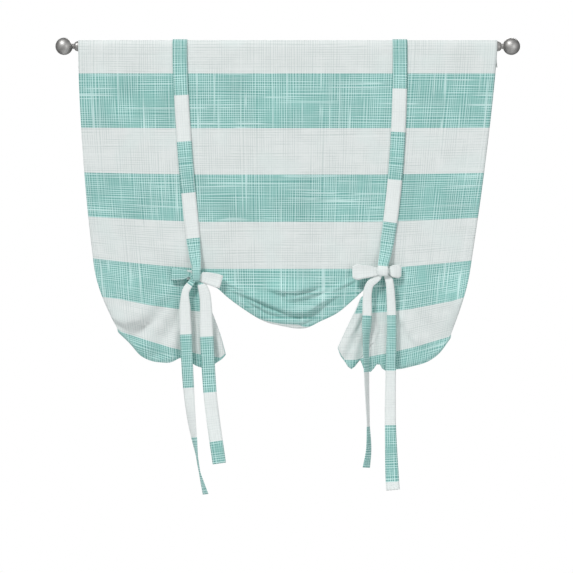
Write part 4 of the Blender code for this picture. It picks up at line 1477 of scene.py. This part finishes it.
# %% Colour changes of the ties
# For each tie: its first colour (1 is teal), then the places where the colour changes. A place is
# a height on the run, a distance from the knot on the way out or back in the loop, or a height on
# the tail.
CHANGES = {
    ("left", "front"): (
        1, (-0.122, -0.242, -0.371, -0.489), (0.010, 0.024), (-0.605, -0.737, -0.877, -1.003),
    ),
    ("left", "back"): (
        0, (-0.130, -0.250, -0.370, -0.490), (0.021,), (-0.607, -0.732, -0.869, -0.995),
    ),
    ("right", "front"): (
        1, (-0.109, -0.219, -0.338, -0.446, -0.560), (), (-0.684, -0.826, -0.964),
    ),
    ("right", "back"): (
        0, (-0.130, -0.250, -0.370, -0.490), (), (-0.684, -0.825, -0.963, -1.103),
    ),
}
TAIL_LENGTH = 0.60
LOOP_TIP = 0.98


def length_at(spots, lengths, axis, level, after=0.0):
    """The length along a strip at which it first passes a level, beyond a given length."""
    for (one, *_), (two, *_), length in zip(spots, spots[1:], lengths[1:]):
        if length > after and (one[axis] - level) * (two[axis] - level) <= 0:
            return length
    return lengths[-1]


def change_marks(name, kind, spots, lengths):
    """The lengths along a tie at which its colour changes."""
    _, run, loop, tail = CHANGES[name, kind]
    side = SIDES[name]
    outward = -1 if kind == "front" else 1
    reach = side["inner_loop" if kind == "front" else "outer_loop"][0]
    tip_x = side["sign"] * (side["knot"].x + outward * reach * LOOP_TIP)
    tip = length_at(spots, lengths, 0, tip_x)
    marks = [length_at(spots, lengths, 2, level) for level in run]
    for distance, after in zip(loop, (tip - reach, tip + 0.5 * reach)):
        x = side["sign"] * (side["knot"].x + outward * distance)
        marks.append(length_at(spots, lengths, 0, x, after))
    return marks + [length_at(spots, lengths, 2, level, lengths[-1] - TAIL_LENGTH) for level in tail]


print(sum(len(run + loop + tail) for _, run, loop, tail in CHANGES.values()), "colour changes")

# %% The four ties
ties, tie_lengths, tie_rings = {}, {}, {}
for (name, kind), (first, *_) in CHANGES.items():
    maker = front_tie_stations if kind == "front" else back_tie_stations
    spots = strip_stations(mirror_stations(maker(SIDES[name]), SIDES[name]["sign"]))
    lengths = lengths_along([spot[0] for spot in spots])
    marks = change_marks(name, kind, spots, lengths)
    strip, tie_rings[name, kind] = make_strip(f"{name}_{kind}_tie_cloth", spots, lengths, marks, first)
    ties[name, kind] = strip
    tie_lengths[name, kind] = lengths[-1]
    print("it is", round(lengths[-1], 3), "m long")

# %% [markdown]
# ## Seams
# A curtain is sewn: its side hems and rod pocket have one row of stitches each, and a tie has a row
# along both edges. Stitches repeat along a path, which is what Geometry Nodes is good at. The
# paths come from the cloth's own points, and the node tree sets a small stitch at each step.

# %% Thread
# In radians per metre
TWIST_RATE = 5200.0


def thread_material(name):
    """Off-white sewing thread with a twist."""
    s = Shader(name)
    place = s.node("ShaderNodeTexCoord", {}, output=3)
    x, y, z = s.split(place)
    twist = ((x + y + z) * TWIST_RATE).math("SINE") * 0.5 + 0.5
    shade = s.mix(twist * 0.5, from_screen(226, 233, 231), from_screen(186, 198, 196))
    return s.finish(Base_Color=shade, Roughness=0.7 - twist * 0.1, Normal=s.bump(twist, 0.3, 0.0001))


sewing_thread = thread_material("sewing_thread")
print("thread has", len(sewing_thread.node_tree.nodes), "nodes")

# %% Stitches by Geometry Nodes
STITCH_PITCH = 0.0034
STITCH_LENGTH = 0.0024
STITCH_RADIUS = 0.00022
STITCH_SIDES = 4
STITCH_VARIATION = (("Min", 0.85), ("Max", 1.15), ("Seed", 3))


def stitch_tree(name):
    """A node group that sets a stitch at every step along the paths in a mesh of edges."""
    group = bpy.data.node_groups.new(name, "GeometryNodeTree")
    group.interface.new_socket("Paths", in_out="INPUT", socket_type="NodeSocketGeometry")
    for title, size in (("Pitch", STITCH_PITCH), ("Length", STITCH_LENGTH), ("Radius", STITCH_RADIUS)):
        socket = group.interface.new_socket(title, in_out="INPUT", socket_type="NodeSocketFloat")
        socket.default_value = size
    group.interface.new_socket("Material", in_out="INPUT", socket_type="NodeSocketMaterial")
    group.interface.new_socket("Stitches", in_out="OUTPUT", socket_type="NodeSocketGeometry")
    nodes, links = group.nodes, group.links
    start = nodes.new("NodeGroupInput")
    end = nodes.new("NodeGroupOutput")
    curve = nodes.new("GeometryNodeMeshToCurve")
    steps = nodes.new("GeometryNodeResampleCurve")
    steps.mode = "LENGTH"
    shape = nodes.new("GeometryNodeMeshCylinder")
    shape.inputs["Vertices"].default_value = STITCH_SIDES
    tangent = nodes.new("GeometryNodeInputTangent")
    align = nodes.new("FunctionNodeAlignRotationToVector")
    align.axis = "Z"
    vary = nodes.new("FunctionNodeRandomValue")
    vary.data_type = "FLOAT"
    for key, number in STITCH_VARIATION:
        socket = [s for s in vary.inputs if s.name == key and s.enabled][0]
        socket.default_value = number
    place = nodes.new("GeometryNodeInstanceOnPoints")
    real = nodes.new("GeometryNodeRealizeInstances")
    paint = nodes.new("GeometryNodeSetMaterial")
    links.new(start.outputs["Paths"], curve.inputs[0])
    links.new(curve.outputs[0], steps.inputs["Curve"])
    links.new(start.outputs["Pitch"], steps.inputs["Length"])
    links.new(start.outputs["Radius"], shape.inputs["Radius"])
    links.new(start.outputs["Length"], shape.inputs["Depth"])
    links.new(steps.outputs[0], place.inputs["Points"])
    links.new(shape.outputs["Mesh"], place.inputs["Instance"])
    links.new(tangent.outputs[0], align.inputs["Vector"])
    links.new(align.outputs[0], place.inputs["Rotation"])
    links.new([s for s in vary.outputs if s.enabled][0], place.inputs["Scale"])
    links.new(place.outputs[0], real.inputs[0])
    links.new(real.outputs[0], paint.inputs["Geometry"])
    links.new(start.outputs["Material"], paint.inputs["Material"])
    links.new(paint.outputs[0], end.inputs[0])
    return group


stitches = stitch_tree("stitches_along_paths")
print("stitch tree has", len(stitches.nodes), "nodes")

# %% Sewing along a path
def sew(name, paths):
    """A plain mesh of stitches along the given lists of points."""
    points, edges = [], []
    for path in paths:
        edges += [(len(points) + step, len(points) + step + 1) for step in range(len(path) - 1)]
        points += [tuple(point) for point in path]
    data = bpy.data.meshes.new(name)
    data.from_pydata(points, edges, [])
    item = bpy.data.objects.new(name, data)
    scene.collection.objects.link(item)
    modifier = item.modifiers.new("stitches", "NODES")
    modifier.node_group = stitches
    for socket in stitches.interface.items_tree:
        if socket.name == "Material":
            modifier[socket.identifier] = sewing_thread
    return plain(item)


def raised(points, forward):
    """Points moved out of the cloth so that half of each stitch shows."""
    return [point + Vector((0.0, forward, 0.0)) for point in points]


print("one stitch every", STITCH_PITCH * 1000, "mm")

# %% Stitches of the panel
CLOTH_HALF = 0.0005
ROWS_TO_SEAM = 5
ROWS_ABOVE = len(upper)
SEAM_ROW = ROWS_ABOVE - UPPER_ROWS + ROWS_TO_SEAM


def hem_path(near, beside):
    """A side hem's stitch line between two neighbouring columns, front only."""
    last = ROWS_ABOVE + sum(FRONT_ROWS)
    edge = grid[0 if near[SEAM_ROW].x < 0 else -1]
    share = PANEL_HEM - abs(near[SEAM_ROW].x - edge[SEAM_ROW].x)
    share /= abs(beside[SEAM_ROW].x - near[SEAM_ROW].x)
    return [one.lerp(two, share) for one, two in zip(near[SEAM_ROW:last], beside[SEAM_ROW:last])]


pocket_seam = [column[SEAM_ROW] for column in grid[1:-1]]
seam_paths = (hem_path(grid[1], grid[2]), hem_path(grid[-2], grid[-3]), pocket_seam)
panel_stitches = sew("panel_stitches", [raised(path, -CLOTH_HALF) for path in seam_paths])

# %% Stitches of the ties
STITCH_INSET = 0.55
TIE_FACE = 0.00066


def edge_path(rings, cut, inner, face):
    """A stitch line along one edge of a tie, on one of its faces."""
    path = []
    for ring, following in zip(rings, rings[1:]):
        along = (following[0] - ring[0]).normalized()
        across = (ring[-1] - ring[0]).normalized()
        outward = along.cross(across).normalized()
        path.append(ring[cut].lerp(ring[inner], STITCH_INSET) + outward * face)
    return path


tie_stitches = {}
for (name, kind), rings in tie_rings.items():
    edge_paths = [edge_path(rings, cut, inner, face)
                  for cut, inner in ((0, 1), (STRIP_CUTS, STRIP_CUTS - 1)) for face in (-TIE_FACE, TIE_FACE)]
    tie_stitches[name, kind] = sew(f"{name}_{kind}_tie_stitches", edge_paths)

# %% [markdown]
# ## Metal and plastic
# The rod and the finials are brushed nickel, seen as fine rings round the axis with slight tarnish
# between them. Noise that is squeezed along the axis draws such rings. The bushes in the tube's
# ends are moulded plastic, which only needs a faint grain.

# %% Metal and plastic
RING_SCALE = 2600.0
ROUND_SCALE = 60.0
TARNISH_SCALE = 70.0
NICKEL_LIGHT = from_screen(190, 189, 187)
NICKEL_DULL = from_screen(140, 139, 137)
PLASTIC_DARK = (0.045, 0.045, 0.047)
PLASTIC_LIGHT = (0.075, 0.075, 0.078)
PLASTIC_GRAIN = 900.0


def metal_material(name):
    """Brushed nickel: fine rings round the turning axis and slight tarnish."""
    s = Shader(name)
    place = s.node("ShaderNodeTexCoord", {}, output=3)
    x, y, z = s.split(place)
    rings = s.noise(s.vector(x * RING_SCALE, y * ROUND_SCALE, z * ROUND_SCALE), 1.0, 2.0)
    cloud = s.noise(place, TARNISH_SCALE, 2.0)
    colour = s.mix(cloud.step(0.35, 0.70) * 0.5 + rings * 0.25, NICKEL_LIGHT, NICKEL_DULL)
    rough = 0.42 + rings * 0.12 + cloud * 0.06
    normal = s.bump(rings, 0.12, 0.0002)
    material = s.finish(Base_Color=colour, Roughness=rough, Normal=normal)
    s.surface.inputs["Metallic"].default_value = 1.0
    return material


def plastic_material(name):
    """Dark moulded plastic with a faint grain."""
    s = Shader(name)
    place = s.node("ShaderNodeTexCoord", {}, output=3)
    grain = s.noise(place, PLASTIC_GRAIN, 2.0)
    colour = s.mix(grain * 0.5, PLASTIC_DARK, PLASTIC_LIGHT)
    return s.finish(Base_Color=colour, Roughness=0.45 + grain * 0.15, Normal=s.bump(grain, 0.15, 0.0002))


nickel = metal_material("brushed_nickel")
dark_plastic = plastic_material("dark_plastic")
print("finishes:", nickel.name, "and", dark_plastic.name)

# %% [markdown]
# ## Finials
# The finials are turned pieces: a ball, a thin neck with a bead, a flared collar and the stud that
# goes into the tube. A turned piece is a profile spun about an axis, so a few rings give the
# whole surface, and both ends close in one point.

# %% Turning a profile
BALL_RADIUS = 0.0220
NECK_RADIUS = 0.0062
NECK_LENGTH = 0.0050
COLLAR_RADIUS = 0.0130
COLLAR_LENGTH = 0.0095
COLLAR_LIP = 0.0016
RIM = 0.0006
STUD_RADIUS = 0.0040
STUD_LENGTH = 0.0130
ROD_SHOW = 0.0010
ROUND = 64
SHARP_EDGE = 40


def turned(name, profile, material, sign):
    """A closed piece turned about the X axis from (lateral, radius) points."""
    mesh = bmesh.new()
    rings = []
    for lateral, radius in profile:
        if radius == 0:
            rings.append([mesh.verts.new((sign * lateral, 0.0, 0.0))])
            continue
        ring = []
        for step in range(ROUND):
            angle = 2 * math.pi * step / ROUND
            ring.append(mesh.verts.new((sign * lateral, radius * math.sin(angle), radius * math.cos(angle))))
        rings.append(ring)
    for ring, after in zip(rings, rings[1:]):
        for step in range(ROUND):
            beside = (step + 1) % ROUND
            if len(ring) == 1:
                mesh.faces.new((ring[0], after[beside], after[step]))
            elif len(after) == 1:
                mesh.faces.new((ring[step], ring[beside], after[0]))
            else:
                mesh.faces.new((ring[step], ring[beside], after[beside], after[step]))
    bmesh.ops.recalc_face_normals(mesh, faces=mesh.faces)
    data = bpy.data.meshes.new(name)
    mesh.to_mesh(data)
    mesh.free()
    data.shade_smooth()
    data.set_sharp_from_angle(angle=math.radians(SHARP_EDGE))
    data.materials.append(material)
    item = bpy.data.objects.new(name, data)
    scene.collection.objects.link(item)
    return item


print(ROUND, "points round each ring")

# %% The finials
# Distance along the neck and height above it, for the bead
NECK_BEAD = ((0.0012, 0.0001), (0.0018, 0.0007), (0.0026, 0.0009), (0.0034, 0.0007), (0.0040, 0.0001))
FLARE_STEPS = 12
BALL_STEPS = 32


def finial_profile():
    """Stud, collar with a rounded rim, neck with a small bead, and ball."""
    start = CLOTH_WIDTH / 2 + ROD_SHOW + GAP
    neck = start + COLLAR_LENGTH
    ball_centre = neck + NECK_LENGTH + math.sqrt(BALL_RADIUS ** 2 - NECK_RADIUS ** 2)
    lip = start + COLLAR_LIP
    profile = [(start - STUD_LENGTH, 0), (start - STUD_LENGTH, STUD_RADIUS), (start, STUD_RADIUS)]
    profile += [(start, COLLAR_RADIUS - 0.0004), (start + 0.0003, COLLAR_RADIUS), (lip, COLLAR_RADIUS)]
    profile.append((lip + 0.0003, COLLAR_RADIUS - RIM))
    for step in range(1, FLARE_STEPS + 1):
        share = step / FLARE_STEPS
        radius = NECK_RADIUS + (COLLAR_RADIUS - RIM - NECK_RADIUS) * math.sqrt(1 - share ** 1.6)
        profile.append((lip + (COLLAR_LENGTH - COLLAR_LIP) * share, radius))
    profile += [(neck + along, NECK_RADIUS + height) for along, height in NECK_BEAD]
    first = math.pi - math.asin(NECK_RADIUS / BALL_RADIUS)
    for step in range(BALL_STEPS):
        angle = first * (1 - step / BALL_STEPS)
        profile.append((ball_centre + BALL_RADIUS * math.cos(angle), BALL_RADIUS * math.sin(angle)))
    return profile + [(ball_centre + BALL_RADIUS, 0)]


finials = {name: turned(f"{name}_turned_finial", finial_profile(), nickel, side["sign"])
           for name, side in SIDES.items()}
print("finials reach", round(finial_profile()[-1][0], 4), "m from mid-width")

# %% [markdown]
# ## The solids that stay
# The rod tube and its end bushes are simple turned shapes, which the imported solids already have.
# They keep their own meshes and only get a finish.

# %% Finishes of the solids that stay
KEPT_SOLIDS = {"rod_tube": nickel, "left_end_plug": dark_plastic, "right_end_plug": dark_plastic}

for node, finish in KEPT_SOLIDS.items():
    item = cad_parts[node]
    if item.material_slots:
        for slot in item.material_slots:
            slot.material = finish
    else:
        item.data.materials.append(finish)
print(len(KEPT_SOLIDS), "solids stay")

# %% [markdown]
# ## Who stands for whom
# Every piece moves with the one body of the part and hides the plain solid that it stands for.

CLOTH_LENGTH = 1.600

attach(panel, "root")
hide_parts("curtain_panel")
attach(panel_stitches, "root")
CLOTH_LENGTH + pocket_back
for (name, kind), piece in ties.items():
    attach(piece, "root")
    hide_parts(f"{name}_{kind}_tie")
    sewn = tie_stitches[name, kind]
    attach(sewn, "root")
for name, piece in finials.items():
    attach(piece, "root")
    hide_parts(f"{name}_finial")
print(1 + len(ties) + len(finials), "pieces stand for solids")
